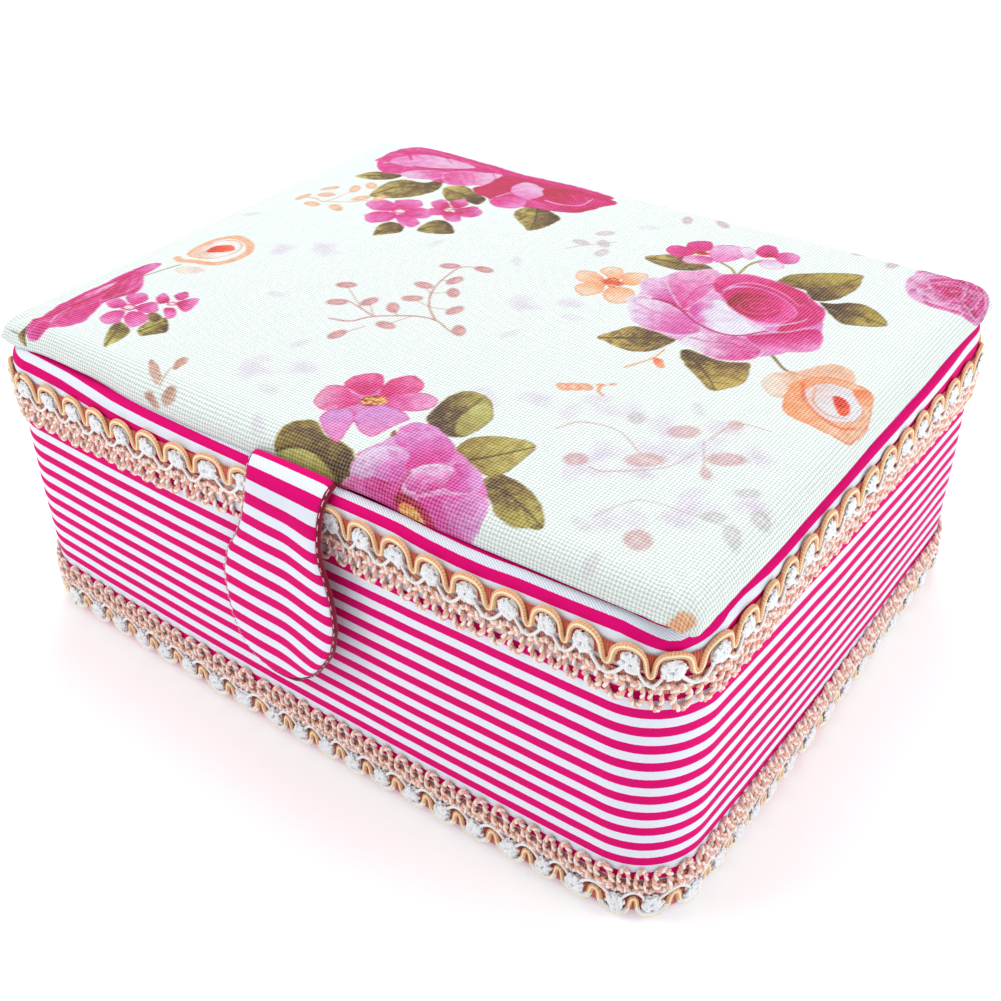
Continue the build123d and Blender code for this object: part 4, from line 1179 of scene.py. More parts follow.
    # small blossoms above it
    shape(C((700, 78), (760, 66), (830, 75), (845, 115), (800, 140), (720, 150), (690, 120)), PP, LL, one(760, 70), one(760, 145), MM, 0.5, seed=320, rough=0.9)
    shape(C((830, 82), (880, 74), (910, 105), (880, 135), (845, 122)), WW, PP, one(850, 80), one(890, 130), LL, 0.5, seed=321)
    shape(C((492, 100), (488, 84), (520, 70), (585, 78), (620, 108), (570, 125), (520, 120)), MM, MD, one(500, 90), one(610, 110), MD, 0.5, seed=322)
    shape(C((580, 76), (600, 55), (650, 48), (700, 55), (702, 85), (660, 102), (620, 100)), MM, MD, one(640, 50), one(650, 100), D, 0.5, seed=323)
    shape(C((560, 140), (590, 122), (650, 118), (700, 130), (700, 152), (640, 160), (600, 156)), PP, MM, one(600, 150), one(690, 120), MM, 0.5, seed=324)
    ellipse_raw(one(650, 106), 3.4, 1.7, 0.2, (150, 20, 40), (206, 90, 70), 0.9, 325)
    shape(C((905, 88), (940, 62), (990, 68), (1008, 95), (965, 122), (920, 116)), MM, MD, one(940, 66), one(975, 118), D, 0.5, seed=326)
    shape(C((1000, 104), (1060, 98), (1105, 115), (1095, 145), (1040, 152), (1000, 132)), LL, MM, one(1090, 120), one(1005, 118), MM, 0.5, seed=327)
    shape(C((920, 142), (960, 130), (1028, 148), (1022, 174), (960, 177), (926, 162)), WW, PP, one(980, 170), one(970, 132), LL, 0.6, seed=328)
    ellipse_raw(one(972, 112), 2.9, 1.5, 0.1, (150, 10, 40), (190, 40, 80), 0.9, 329)
    # peach flower at its left
    kp, kr, kw = (248, 188, 150), (240, 150, 112), (252, 226, 208)
    for n_, q_ in enumerate((((70, 222), (92, 196), (160, 200), (205, 235), (150, 252), (92, 242)), ((185, 190), (240, 174), (292, 190), (282, 232), (228, 228)),
                             ((300, 206), (390, 204), (402, 232), (340, 262), (286, 248)), ((198, 300), (240, 268), (330, 280), (342, 320), (280, 346), (215, 335)),
                             ((74, 262), (120, 250), (205, 254), (190, 292), (110, 312), (68, 286)))):
        pts_ = C(*q_)
        cx_ = one(240, 248)
        far = max(pts_, key=lambda z: math.dist(z, cx_))
        shape(pts_, kw, kp, far, cx_, kr, 0.6, seed=330 + n_, ends=(0.0, 0.8))
    ellipse_raw(one(242, 248), 4.4, 2.3, 0.2, (200, 70, 36), (238, 140, 96), 0.95, 336)
    for k in range(9):
        a_ = 2 * math.pi * k / 9
        o_ = one(242 + 30 * math.cos(a_), 248 + 20 * math.sin(a_))
        ellipse_raw(o_, 0.8, 0.6, 0, (170, 50, 30), (200, 90, 50), 0.8, 340 + k)
    # the rose: outer petals, then the bowl, the folds and the heart
    shape(C((340, 350), (420, 250), (540, 205), (720, 200), (1000, 250), (1190, 350), (1200, 480), (1090, 545), (900, 585), (640, 540), (420, 460)), (240, 200, 230), (226, 150, 204), None, None, None, seed=349)
    shape(C((560, 512), (620, 478), (700, 485), (850, 498), (930, 545), (922, 580), (880, 600), (800, 606), (700, 592), (610, 548), (550, 524)), WW, (214, 84, 152), one(570, 520), one(900, 560), (246, 226, 242), 1.0, seed=350, blotch=0.25)
    shape(C((850, 492), (950, 480), (1100, 460), (1190, 455), (1214, 480), (1200, 540), (1130, 560), (1010, 558), (920, 548)), (200, 36, 118), (238, 160, 206), one(1040, 470), one(1090, 556), (238, 170, 212), 0.9, seed=351, blotch=0.2)
    shape(C((305, 332), (340, 306), (400, 308), (470, 330), (550, 372), (650, 445), (640, 480), (560, 492), (470, 482), (380, 455), (322, 412)), (244, 224, 244), (220, 110, 176), one(320, 360), one(600, 450), (246, 234, 248), 1.4, seed=352, blotch=0.3)
    shape(C((365, 250), (400, 226), (450, 224), (490, 240), (520, 300), (600, 380), (560, 380), (470, 336), (390, 302)), (240, 206, 234), (206, 70, 146), one(375, 250), one(560, 350), (244, 226, 244), 0.9, seed=353, blotch=0.2)
    shape(C((490, 222), (540, 196), (620, 190), (715, 184), (745, 225), (712, 275), (640, 335), (570, 372), (520, 318), (496, 262)), (242, 190, 222), (218, 92, 160), one(600, 192), one(560, 350), (244, 214, 236), 1.0, seed=354, blotch=0.3)
    shape(C((1060, 300), (1130, 300), (1200, 345), (1226, 378), (1205, 422), (1120, 452), (1000, 470), (1040, 400)), (214, 70, 142), (196, 26, 106), one(1210, 380), one(1060, 380), (228, 110, 172), 0.9, seed=355, blotch=0.3)
    shape(C((705, 262), (722, 222), (780, 205), (880, 205), (1000, 235), (1120, 280), (1150, 320), (1090, 350), (1000, 300), (900, 265), (800, 262), (740, 300)), (222, 96, 158), (196, 26, 106), one(860, 206), one(900, 290), (232, 130, 184), 0.9, seed=356, blotch=0.3)
    shape(C((590, 372), (640, 336), (740, 322), (800, 372), (880, 428), (960, 462), (900, 486), (790, 490), (690, 468), (620, 420)), (214, 92, 168), (243, 234, 248), one(600, 390), one(740, 400), (232, 160, 208), 0.8, seed=357, ends=(0.0, 0.9))
    ellipse_raw(one(735, 398), 6.2, 4.2, 0.3, (248, 240, 250), (236, 214, 240), 0.85, 358)
    shape(C((745, 292), (850, 262), (960, 282), (1060, 335), (1095, 385), (1040, 425), (940, 432), (850, 405), (780, 352)), (198, 30, 112), (222, 96, 160), one(800, 320), one(1060, 400), (236, 170, 212), 0.9, seed=359, blotch=0.35)
    shape(C((770, 335), (800, 300), (870, 290), (960, 305), (1020, 350), (1000, 400), (920, 412), (840, 390), (795, 362)), (160, 0, 60), (206, 46, 124), one(790, 340), one(980, 370), None, seed=360, blotch=0.3)
    shape(C((770, 340), (790, 312), (835, 305), (850, 350), (870, 390), (820, 375)), (140, 0, 48), (176, 6, 76), one(780, 335), one(860, 380), None, seed=361)
    for k, (rx_, ry_) in enumerate(((118, 48), (92, 36), (66, 26), (38, 15))):
        t_ = np.linspace(0.5, 5.6, 10)
        stroke(C(*[(915 + rx_ * math.cos(a_), 352 + ry_ * math.sin(a_)) for a_ in t_]), 0.7, 0.5, (172, 4, 76) if k % 2 == 0 else (232, 120, 178), 0.8, 362 + k, raw=True)
    stroke(C((752, 282), (810, 252), (880, 244), (960, 262), (1040, 298), (1100, 345)), 1.0, 0.5, (242, 206, 230), 0.85, 366, raw=True)
    stroke(C((840, 402), (910, 440), (1000, 442), (1100, 424), (1140, 408)), 1.3, 0.7, (246, 222, 240), 0.9, 367, raw=True)
    stroke(C((870, 432), (950, 468), (1050, 470), (1130, 452)), 1.0, 0.6, (240, 196, 226), 0.8, 368, raw=True)
    stroke(C((430, 322), (520, 346), (580, 392), (640, 440), (740, 480), (830, 490), (950, 468)), 1.2, 0.7, (168, 8, 84), 0.85, 369, raw=True)
    stroke(C((560, 372), (590, 320), (640, 270), (700, 250)), 0.8, 0.5, (196, 50, 124), 0.7, 370, raw=True)
    stroke(C((1100, 300), (1160, 350), (1190, 400)), 0.9, 0.5, (176, 6, 84), 0.7, 371, raw=True)
    stroke(C((960, 486), (1060, 478), (1180, 456)), 1.0, 0.5, (172, 4, 80), 0.75, 372, raw=True)
    stroke(C((600, 500), (700, 520), (800, 530), (880, 560)), 0.7, 0.4, (206, 70, 146), 0.6, 373, raw=True)
    for k in range(7):
        stroke(C((350 + 34 * k, 345 + 14 * k), (420 + 34 * k, 380 + 12 * k)), 0.7, 0.3, (226, 128, 188), 0.5, 374, raw=True)
    # ---- peach rose at its right ----
    shape(C((930, 690), (1000, 650), (1120, 640), (1250, 612), (1350, 640), (1362, 700), (1300, 700), (1180, 690), (1100, 720), (1030, 770), (950, 742)), (250, 226, 212), (244, 190, 164), one(960, 700), one(1100, 700), (246, 206, 188), 0.6, 0.8, seed=380)
    shape(C((1025, 800), (1075, 700), (1200, 668), (1330, 690), (1430, 730), (1458, 800), (1440, 900), (1392, 950), (1340, 966), (1250, 935), (1150, 890), (1060, 850)), (244, 170, 130), (250, 208, 184), one(1060, 760), one(1420, 860), (240, 150, 110), 0.9, seed=381, blotch=0.4)
    shape(C((1110, 745), (1210, 694), (1330, 720), (1402, 770), (1404, 850), (1330, 880), (1230, 866), (1150, 812)), (240, 216, 214), (238, 232, 240), one(1130, 760), one(1300, 820), (236, 150, 116), 0.7, seed=382, blotch=0.3)
    stroke(C((1120, 700), (1130, 770), (1190, 840), (1290, 900), (1380, 900)), 1.3, 0.9, (232, 116, 78), 0.75, 383, raw=True)
    stroke(C((1180, 720), (1170, 780), (1230, 840), (1320, 860)), 0.9, 0.6, (240, 170, 140), 0.8, 384, raw=True)
    shape(C((1352, 728), (1440, 740), (1452, 795), (1400, 802), (1370, 770)), (238, 140, 100), (246, 180, 146), one(1360, 740), one(1440, 790), None, seed=385)
    shape(C((1262, 758), (1310, 766), (1342, 808), (1326, 846), (1284, 838), (1268, 798)), (206, 62, 36), (232, 110, 72), one(1280, 770), one(1330, 830), None, seed=386)
    ellipse_raw(one(1300, 800), 1.2, 1.0, 0, (160, 40, 30), (190, 60, 40), 0.8, 387)
    # small peach sprig and buds
    stroke(C((300, 636), (360, 617), (430, 592), (480, 556)), 0.9, 0.7, (240, 176, 140), 0.9, 388, raw=True)
    shape(C((428, 590), (468, 600), (484, 632), (452, 638), (430, 615)), (240, 140, 104), (246, 176, 146), one(440, 600), one(475, 630), None, seed=389)
    for k, x_ in enumerate((18, 66, 116)):
        ellipse_raw(one(x_, 727), 2.7, 1.9, 0.0, (250, 220, 200), (240, 160, 124), 0.95, 390 + k)
    stroke(C((170, 718), (190, 716), (210, 720)), 1.0, 0.8, (240, 166, 130), 0.9, 393, raw=True)
    stroke(C((190, 718), (178, 745), (200, 768)), 1.4, 0.8, (240, 166, 130), 0.9, 394, raw=True)
    stroke(C((236, 715), (256, 713)), 1.3, 0.9, (240, 166, 130), 0.8, 395, raw=True)
    # faint bits above the centre
    for k, c in enumerate([(1.4, 49.5), (4.1, 60.9), (12, 46), (8.5, 53)]):
        ellipse(c, 3.4, 2.1, 0.8 * k, (226, 208, 218), (206, 178, 190), 0.7, 0.6, seed=220 + k)
    stroke([(0, 41.9), (4.4, 48.6), (11.5, 57.2)], 0.8, 0.6, (206, 178, 186), 0.7, 78)
    for k, c in enumerate([(62, 98), (72, 99), (84, 97), (96, 94), (22, 88), (34, 92)]):
        ellipse(c, 3.6, 1.9, 0.5 * k, (214, 182, 190), (196, 150, 166), 0.6, 0.7, seed=225 + k)
    # ---- front spray ----
    C = crop(262, 355, 5.227)
    shape(C((40, 455), (60, 400), (130, 345), (220, 325), (290, 340), (340, 410), (440, 455), (475, 500), (478, 570), (440, 620), (380, 650), (330, 655), (250, 620), (150, 580), (70, 530)), (88, 64, 30), (150, 128, 70), one(380, 520), one(100, 380), (176, 164, 96), 0.8, seed=401, blotch=0.6)
    shape(C((42, 462), (100, 455), (200, 468), (290, 520), (350, 590), (352, 650), (250, 622), (150, 582), (70, 535)), (214, 208, 142), (190, 180, 106), one(60, 480), one(330, 620), None, seed=402, blotch=0.35)
    stroke(C((46, 462), (150, 458), (250, 490), (330, 565), (356, 640)), 0.9, 0.6, (70, 48, 22), 0.8, 403, raw=True)
    shape(C((858, 335), (900, 285), (970, 225), (1060, 192), (1150, 210), (1205, 262), (1198, 340), (1130, 390), (1060, 425), (990, 425), (900, 390)), (78, 52, 30), (172, 158, 96), one(900, 330), one(1160, 300), (130, 104, 58), 0.6, seed=404, blotch=0.5)
    shape(C((1010, 400), (1030, 330), (1090, 280), (1180, 260), (1200, 330), (1130, 388), (1060, 420)), (186, 176, 110), (206, 204, 140), one(1030, 370), one(1180, 300), None, 1.0, 0.75, seed=405, blotch=0.5)
    stroke(C((900, 380), (980, 350), (1060, 300), (1150, 230)), 0.8, 0.5, (60, 40, 20), 0.8, 406, raw=True)
    shape(C((985, 543), (1030, 470), (1100, 430), (1230, 425), (1360, 440), (1432, 476), (1380, 530), (1290, 600), (1200, 628), (1130, 602), (1060, 552)), (150, 126, 66), (196, 184, 116), one(1020, 530), one(1350, 500), (120, 92, 46), 0.5, seed=407, blotch=0.45)
    stroke(C((1000, 545), (1100, 540), (1240, 518), (1425, 478)), 1.1, 0.5, (70, 46, 20), 0.9, 408, raw=True)
    for k in range(4):
        stroke(C((1090 + 70 * k, 538 - 10 * k), (1150 + 66 * k, 490 - 8 * k)), 0.5, 0.3, (104, 78, 38), 0.6, 409, raw=True)
        stroke(C((1100 + 66 * k, 538 - 10 * k), (1160 + 50 * k, 585 - 22 * k)), 0.5, 0.3, (104, 78, 38), 0.6, 410, raw=True)
    shape(C((1138, 680), (1170, 630), (1250, 618), (1350, 660), (1440, 740), (1472, 820), (1466, 896), (1380, 898), (1280, 880), (1210, 820), (1190, 750)), (104, 78, 36), (186, 172, 100), one(1190, 660), one(1420, 860), (150, 130, 66), 0.6, seed=411, blotch=0.55)
    stroke(C((1150, 672), (1260, 700), (1370, 790), (1462, 890)), 1.0, 0.5, (70, 46, 20), 0.9, 412, raw=True)
    for k in range(4):
        stroke(C((1220 + 50 * k, 690 + 34 * k), (1290 + 44 * k, 680 + 44 * k)), 0.5, 0.3, (84, 60, 28), 0.6, 413, raw=True)
        stroke(C((1220 + 50 * k, 690 + 34 * k), (1240 + 50 * k, 770 + 34 * k)), 0.5, 0.3, (84, 60, 28), 0.6, 414, raw=True)
    # open blossom
    shape(C((340, 250), (430, 190), (560, 170), (700, 180), (830, 215), (740, 290), (620, 330), (500, 345), (400, 320)), (238, 170, 212), (222, 120, 190), None, None, None, seed=419)
    shape(C((300, 320), (330, 285), (400, 265), (470, 280), (482, 330), (450, 380), (400, 440), (350, 415), (315, 370)), (226, 168, 222), (236, 150, 204), one(400, 280), one(390, 430), (216, 96, 160), 0.7, seed=420, blotch=0.3)
    shape(C((480, 300), (540, 270), (640, 262), (720, 285), (772, 330), (700, 365), (620, 402), (570, 420), (510, 390), (480, 340)), (220, 158, 216), (238, 160, 206), one(600, 270), one(580, 410), (218, 96, 160), 0.7, seed=421, blotch=0.3)
    shape(C((270, 236), (290, 200), (340, 160), (420, 158), (480, 200), (520, 240), (440, 266), (340, 282), (286, 264)), (240, 176, 208), (212, 70, 136), one(285, 235), one(500, 235), (206, 56, 116), 0.6, seed=422, blotch=0.35)
    shape(C((430, 152), (470, 115), (560, 97), (622, 105), (642, 150), (600, 192), (540, 212), (480, 190)), (232, 130, 176), (202, 46, 116), one(540, 100), one(545, 205), (204, 50, 112), 0.6, seed=423, blotch=0.35)
    shape(C((612, 205), (650, 150), (700, 125), (790, 112), (846, 150), (830, 190), (740, 212), (650, 222)), (232, 130, 176), (206, 52, 120), one(830, 140), one(625, 210), (204, 50, 112), 0.6, seed=424, blotch=0.35)
    shape(C((640, 232), (720, 205), (850, 200), (922, 236), (900, 270), (820, 292), (720, 287), (660, 262)), (240, 176, 214), (222, 100, 164), one(900, 235), one(660, 240), (212, 76, 140), 0.6, seed=425, blotch=0.3)
    shape(C((510, 240), (545, 215), (620, 215), (655, 238), (610, 258), (540, 262)), (150, 30, 40), (206, 140, 70), one(520, 250), one(640, 230), None, seed=426, blotch=0.7)
    for k in range(12):
        ellipse_raw(one(525 + 10.5 * k, 240 + 13 * math.sin(k * 2.3)), 0.8, 0.6, 0, (252, 232, 170), (236, 196, 120), 0.9, 430 + k)
    # half-open rose that runs over the lid's edge
    stroke(C((490, 512), (560, 476), (622, 455)), 0.8, 0.6, (202, 60, 96), 0.85, 444, raw=True)
    shape(C((676, 400), (700, 392), (706, 440), (694, 462), (676, 440)), (150, 96, 70), (176, 126, 96), one(680, 400), one(700, 450), None, seed=445)
    shape(C((440, 600), (520, 500), (680, 420), (820, 380), (970, 450), (1140, 620), (1165, 800), (1060, 950), (850, 860), (640, 740)), (236, 190, 226), (226, 140, 196), None, None, None, seed=443)
    shape(C((375, 668), (400, 622), (470, 600), (560, 590), (700, 640), (722, 720), (690, 815), (600, 790), (500, 735), (420, 700)), (232, 140, 196), (206, 56, 140), one(420, 640), one(680, 760), (236, 180, 218), 0.8, seed=446, blotch=0.45)
    shape(C((478, 620), (480, 540), (540, 480), (620, 460), (700, 470), (760, 510), (762, 580), (720, 642), (640, 645), (560, 622)), (240, 216, 242), (216, 112, 184), one(540, 500), one(700, 630), (236, 190, 230), 0.8, seed=447, blotch=0.35)
    shape(C((690, 440), (720, 380), (800, 350), (900, 370), (980, 430), (1012, 490), (990, 550), (900, 560), (820, 592), (755, 625), (748, 560), (770, 510), (720, 470)), (230, 168, 220), (206, 60, 142), one(800, 370), one(780, 600), (226, 140, 200), 0.8, seed=448, blotch=0.35)
    shape(C((985, 562), (1080, 560), (1152, 620), (1134, 690), (1060, 722), (960, 702), (940, 660), (1000, 612)), (210, 80, 160), (228, 168, 220), one(980, 640), one(1140, 640), (236, 190, 226), 0.8, seed=449, blotch=0.35)
    shape(C((718, 652), (760, 600), (850, 566), (950, 566), (1004, 600), (962, 662), (900, 702), (800, 706), (740, 700)), (240, 206, 234), (212, 84, 160), one(860, 572), one(860, 700), (246, 232, 246), 1.0, seed=450, blotch=0.35)
    shape(C((795, 722), (900, 702), (1060, 710), (1162, 730), (1178, 800), (1132, 885), (1092, 960), (1045, 990), (960, 950), (880, 895), (830, 805)), (212, 84, 160), (232, 176, 222), one(840, 760), one(1160, 830), (236, 186, 224), 0.9, seed=451, blotch=0.45)
    shape(C((690, 700), (760, 716), (830, 770), (886, 850), (880, 900), (810, 872), (730, 810), (672, 760)), (150, 0, 56), (196, 30, 106), one(740, 760), one(880, 880), None, seed=452, blotch=0.4)
    shape(C((690, 762), (730, 744), (800, 790), (834, 866), (770, 846), (700, 806)), (240, 150, 90), (250, 214, 140), one(700, 770), one(820, 850), None, seed=453, blotch=0.6)
    for k in range(10):
        ellipse_raw(one(705 + 12 * k, 768 + 8.5 * k + 8 * math.sin(k * 2.1)), 0.9, 0.7, 0, (254, 240, 190) if k % 2 else (196, 60, 50), (246, 206, 130), 0.9, 454 + k)
    stroke(C((770, 600), (720, 650), (700, 700)), 1.0, 0.7, (176, 10, 90), 0.7, 465, raw=True)
    stroke(C((800, 706), (900, 690), (960, 665), (1004, 602)), 0.9, 0.6, (186, 30, 110), 0.7, 466, raw=True)
    stroke(C((560, 625), (640, 650), (720, 645)), 0.9, 0.5, (190, 40, 120), 0.6, 467, raw=True)
    stroke(C((830, 720), (930, 716), (1040, 718)), 0.8, 0.5, (240, 200, 228), 0.8, 468, raw=True)
    # ---- back left ----
    C = crop(350, 135, 5.6)
    def lf(pts, seed, c0=(88, 62, 30), c1=(200, 184, 118), vein=None):
        q = C(*pts)
        shape(q, c0, c1, q[len(q) // 2], q[0], (140, 116, 62), 0.5, seed=seed, blotch=0.55)
        if vein:
            stroke(C(*vein), 0.8, 0.4, (72, 48, 22), 0.85, seed + 1, raw=True)
    lf(((30, 215), (120, 195), (200, 202), (290, 220), (230, 242), (120, 242)), 501, vein=((60, 217), (170, 218), (280, 222)))
    lf(((110, 330), (200, 265), (300, 245), (420, 262), (515, 248), (500, 300), (400, 335), (260, 352), (150, 345)), 503, vein=((120, 330), (260, 290), (400, 285), (510, 255)))
    lf(((520, 300), (560, 285), (650, 285), (700, 320), (762, 355), (720, 390), (640, 372), (560, 376), (525, 340)), 505, (78, 50, 26), vein=((540, 300), (630, 330), (740, 370)))
    lf(((375, 535), (430, 495), (500, 480), (560, 500), (582, 556), (480, 562), (400, 550)), 507, vein=((390, 535), (480, 515), (575, 550)))
    lf(((130, 565), (160, 510), (230, 490), (302, 515), (280, 550), (200, 560)), 509, vein=((140, 560), (210, 525), (290, 515)))
    lf(((915, 450), (960, 410), (1060, 400), (1172, 460), (1140, 500), (1010, 542), (960, 500)), 511, vein=((1050, 410), (1040, 470), (1010, 535)))
    def petals(sets, seed, c_in, c_out, centre, mid):
        o = C(centre)[0]
        for i, q in enumerate(sets):
            q = C(*q)
            far = max(q, key=lambda z: math.dist(z, o))
            shape(q, c_in, c_out, o, far, None, seed=seed + i, rough=0.6, blotch=0.25)
        ellipse_raw(o, mid[0] * 1.5, mid[1] * 1.6, 0.2, D, MD, 0.75, seed + 8)
        ellipse_raw(o, mid[0], mid[1], 0.2, (255, 248, 240), (248, 226, 222), 0.95, seed + 9)
    petals((((90, 380), (180, 358), (260, 388), (265, 424), (130, 418)), ((250, 368), (380, 362), (405, 398), (300, 420)), ((300, 430), (400, 408), (472, 440), (420, 470), (330, 460)),
            ((260, 450), (340, 448), (392, 500), (330, 522), (270, 492)), ((80, 452), (150, 428), (258, 438), (230, 482), (110, 492))), 520, MD, LL, (280, 428), (2.3, 1.5))
    petals((((460, 372), (530, 362), (560, 408), (490, 420), (458, 396)), ((560, 374), (640, 358), (664, 392), (590, 412)), ((590, 420), (700, 400), (742, 440), (680, 466), (606, 452)),
            ((536, 430), (600, 440), (622, 480), (570, 492), (520, 466)), ((448, 412), (530, 420), (524, 452), (438, 446))), 530, D, LL, (560, 415), (1.5, 1.0))
    shape(C((150, 120), (200, 84), (260, 56), (350, 50), (500, 72), (650, 118), (800, 160), (950, 205), (1100, 240), (1300, 285), (1480, 345), (1300, 340), (1000, 290), (820, 230), (500, 140)), MM, MD, None, None, None, seed=539, blotch=0.5)
    shape(C((150, 130), (180, 92), (240, 62), (350, 58), (500, 92), (650, 140), (800, 180), (852, 215), (840, 252), (740, 276), (600, 282), (520, 266), (430, 246), (330, 236), (270, 212), (190, 202), (155, 172)),
          MM, MD, one_(C, 200, 120), one_(C, 760, 240), (236, 150, 200), 0.6, seed=540, blotch=0.5)
    shape(C((235, 118), (400, 100), (560, 125), (700, 172), (620, 182), (480, 180), (350, 172), (250, 150)), LL, PP, one_(C, 300, 160), one_(C, 560, 130), None, seed=541, blotch=0.4)
    shape(C((290, 206), (380, 192), (520, 200), (560, 222), (480, 246), (380, 242), (310, 228)), MM, PP, one_(C, 520, 205), one_(C, 330, 232), (246, 226, 244), 0.8, seed=542, blotch=0.3)
    shape(C((520, 216), (600, 198), (740, 203), (850, 215), (820, 252), (740, 273), (600, 281), (530, 263)), MM, PP, one_(C, 560, 230), one_(C, 800, 230), (240, 200, 232), 0.8, seed=543, blotch=0.35)
    stroke(C((360, 168), (450, 180), (600, 184), (770, 186)), 1.1, 0.7, (176, 6, 84), 0.9, 544, raw=True)
    stroke(C((310, 74), (330, 96), (345, 130)), 2.4, 0.8, (190, 10, 90), 0.7, 545, raw=True)
    stroke(C((340, 80), (460, 96), (600, 130)), 1.0, 0.5, (180, 10, 90), 0.7, 546, raw=True)
    stroke(C((190, 138), (290, 140), (380, 134)), 0.7, 0.4, WW, 0.8, 547, raw=True)
    shape(C((690, 292), (760, 274), (860, 222), (960, 230), (1100, 262), (1300, 300), (1495, 366), (1400, 402), (1290, 432), (1200, 432), (1080, 418), (1000, 402), (930, 408), (850, 410), (790, 388), (770, 352), (710, 326)),
          D, MD, one_(C, 760, 300), one_(C, 1300, 400), None, seed=550, blotch=0.5)
    shape(C((780, 362), (860, 330), (960, 318), (1015, 340), (965, 402), (880, 413), (800, 397)), MD, LL, one_(C, 830, 345), one_(C, 930, 400), WW, 0.6, seed=551, blotch=0.4)
    shape(C((900, 292), (980, 256), (1070, 284), (1092, 322), (1040, 350), (980, 352), (920, 330)), LL, PP, one_(C, 940, 330), one_(C, 1040, 290), None, seed=552, blotch=0.3)
    shape(C((1080, 300), (1200, 292), (1350, 328), (1364, 366), (1290, 390), (1180, 386), (1110, 352)), (176, 4, 66), MD, one_(C, 1100, 305), one_(C, 1340, 370), None, seed=553, blotch=0.3)
    shape(C((1000, 360), (1110, 384), (1300, 398), (1390, 384), (1290, 432), (1100, 418), (1000, 394)), MM, D, one_(C, 1040, 400), one_(C, 1350, 400), None, seed=554, blotch=0.4)
    for k in range(6):
        stroke(C((1130 + 38 * k, 312 + 6 * k), (1170 + 34 * k, 345 + 5 * k), (1215 + 26 * k, 372)), 0.7, 0.3, (244, 140, 196) if k % 2 else (150, 0, 60), 0.55, 680 + k, raw=True)
    for k in range(5):
        stroke(C((560 + 60 * k, 208), (575 + 60 * k, 240), (590 + 50 * k, 270)), 0.7, 0.3, PP if k % 2 else MD, 0.5, 690 + k, raw=True)
    for k in range(4):
        stroke(C((250 + 90 * k, 74 + 12 * k), (280 + 90 * k, 92 + 12 * k), (330 + 80 * k, 106 + 16 * k)), 0.8, 0.4, D if k % 2 else LL, 0.5, 710 + k, raw=True)
    stroke(C((1095, 364), (1180, 386), (1290, 388), (1362, 352)), 0.8, 0.5, WW, 0.9, 555, raw=True)
    stroke(C((820, 345), (900, 316), (1000, 290)), 0.7, 0.5, WW, 0.8, 556, raw=True)
    stroke(C((1090, 300), (1240, 300), (1400, 345)), 0.9, 0.5, (168, 0, 70), 0.8, 557, raw=True)
    spray = (240, 184, 156)
    stroke([(-112, 29.5), (-105, 29), (-99.6, 28.3), (-97.8, 37.7), (-98.5, 44.3)], 0.9, 0.6, spray, 0.85, 79)
    stroke([(-99.6, 28.3), (-91, 33), (-84, 40)], 0.8, 0.6, spray, 0.8, 80)
    for k, c in enumerate([(-102.4, 24.1), (-108, 40.5), (-112, 29.5), (-98.5, 44.3), (-92, 26), (-104, 34), (-90, 38), (-84, 42), (-95, 50)]):
        ellipse(c, 3.6, 2.1, 0.7 * k, (250, 214, 190), (236, 176, 146), 0.9, 0.5, seed=250 + k)
    # ---- left ----
    C = crop(0, 220, 6.03)
    lf(((50, 640), (110, 606), (180, 572), (120, 620), (80, 702), (60, 684)), 601)
    lf(((620, 747), (650, 660), (710, 600), (782, 650), (740, 700), (680, 732)), 603, (110, 90, 40), (214, 204, 120), vein=((630, 740), (690, 670), (720, 610)))
    lf(((828, 652), (900, 600), (1000, 588), (1008, 665), (920, 682), (850, 688)), 605, (84, 60, 30), (206, 196, 116), vein=((840, 660), (920, 630), (1000, 600)))
    lf(((885, 560), (940, 552), (975, 580), (940, 606), (900, 598)), 607, (84, 60, 30), (150, 128, 66))
    petals((((596, 582), (660, 540), (750, 540), (722, 602), (640, 617)), ((636, 490), (700, 458), (768, 500), (680, 524)), ((756, 450), (860, 428), (892, 472), (800, 506)),
            ((820, 512), (930, 488), (952, 542), (850, 552)), ((770, 548), (850, 548), (892, 592), (800, 637), (748, 602))), 610, MD, LL, (775, 518), (2.0, 1.4))
    petals((((940, 462), (990, 434), (1024, 480), (960, 502)), ((1050, 452), (1120, 426), (1142, 460), (1080, 482)), ((1070, 490), (1192, 468), (1192, 502), (1120, 552), (1072, 520)),
            ((988, 528), (1050, 528), (1062, 572), (1000, 587))), 620, D, LL, (1035, 500), (1.2, 0.9))
    shape(C((112, 655), (130, 600), (250, 530), (350, 465), (480, 400), (600, 350), (740, 280), (900, 225), (968, 240), (900, 290), (860, 320), (862, 370), (820, 430), (700, 460), (600, 500), (520, 590), (430, 622), (340, 632), (260, 642), (170, 687), (130, 677)),
          MD, MM, one_(C, 500, 440), one_(C, 300, 640), (238, 160, 206), 0.6, seed=630, blotch=0.5)
    shape(C((113, 656), (160, 600), (260, 570), (310, 604), (250, 650), (170, 687)), MM, MD, one_(C, 140, 660), one_(C, 280, 590), LL, 0.8, seed=631, blotch=0.4)
    shape(C((320, 592), (400, 522), (520, 490), (590, 462), (604, 500), (520, 584), (430, 622), (340, 632)), MD, MM, one_(C, 560, 480), one_(C, 380, 630), LL, 0.9, seed=632, blotch=0.4)
    shape(C((600, 440), (740, 335), (850, 318), (864, 362), (840, 412), (760, 442), (680, 462), (620, 472)), D, MM, one_(C, 640, 440), one_(C, 850, 390), LL, 0.9, seed=633, blotch=0.4)
    shape(C((760, 302), (900, 232), (968, 244), (900, 290), (780, 332)), MD, LL, one_(C, 780, 320), one_(C, 950, 245), None, seed=634, blotch=0.3)
    shape(C((450, 440), (600, 366), (700, 340), (560, 424), (470, 456)), MM, PP, one_(C, 480, 450), one_(C, 660, 350), None, seed=635, blotch=0.3)
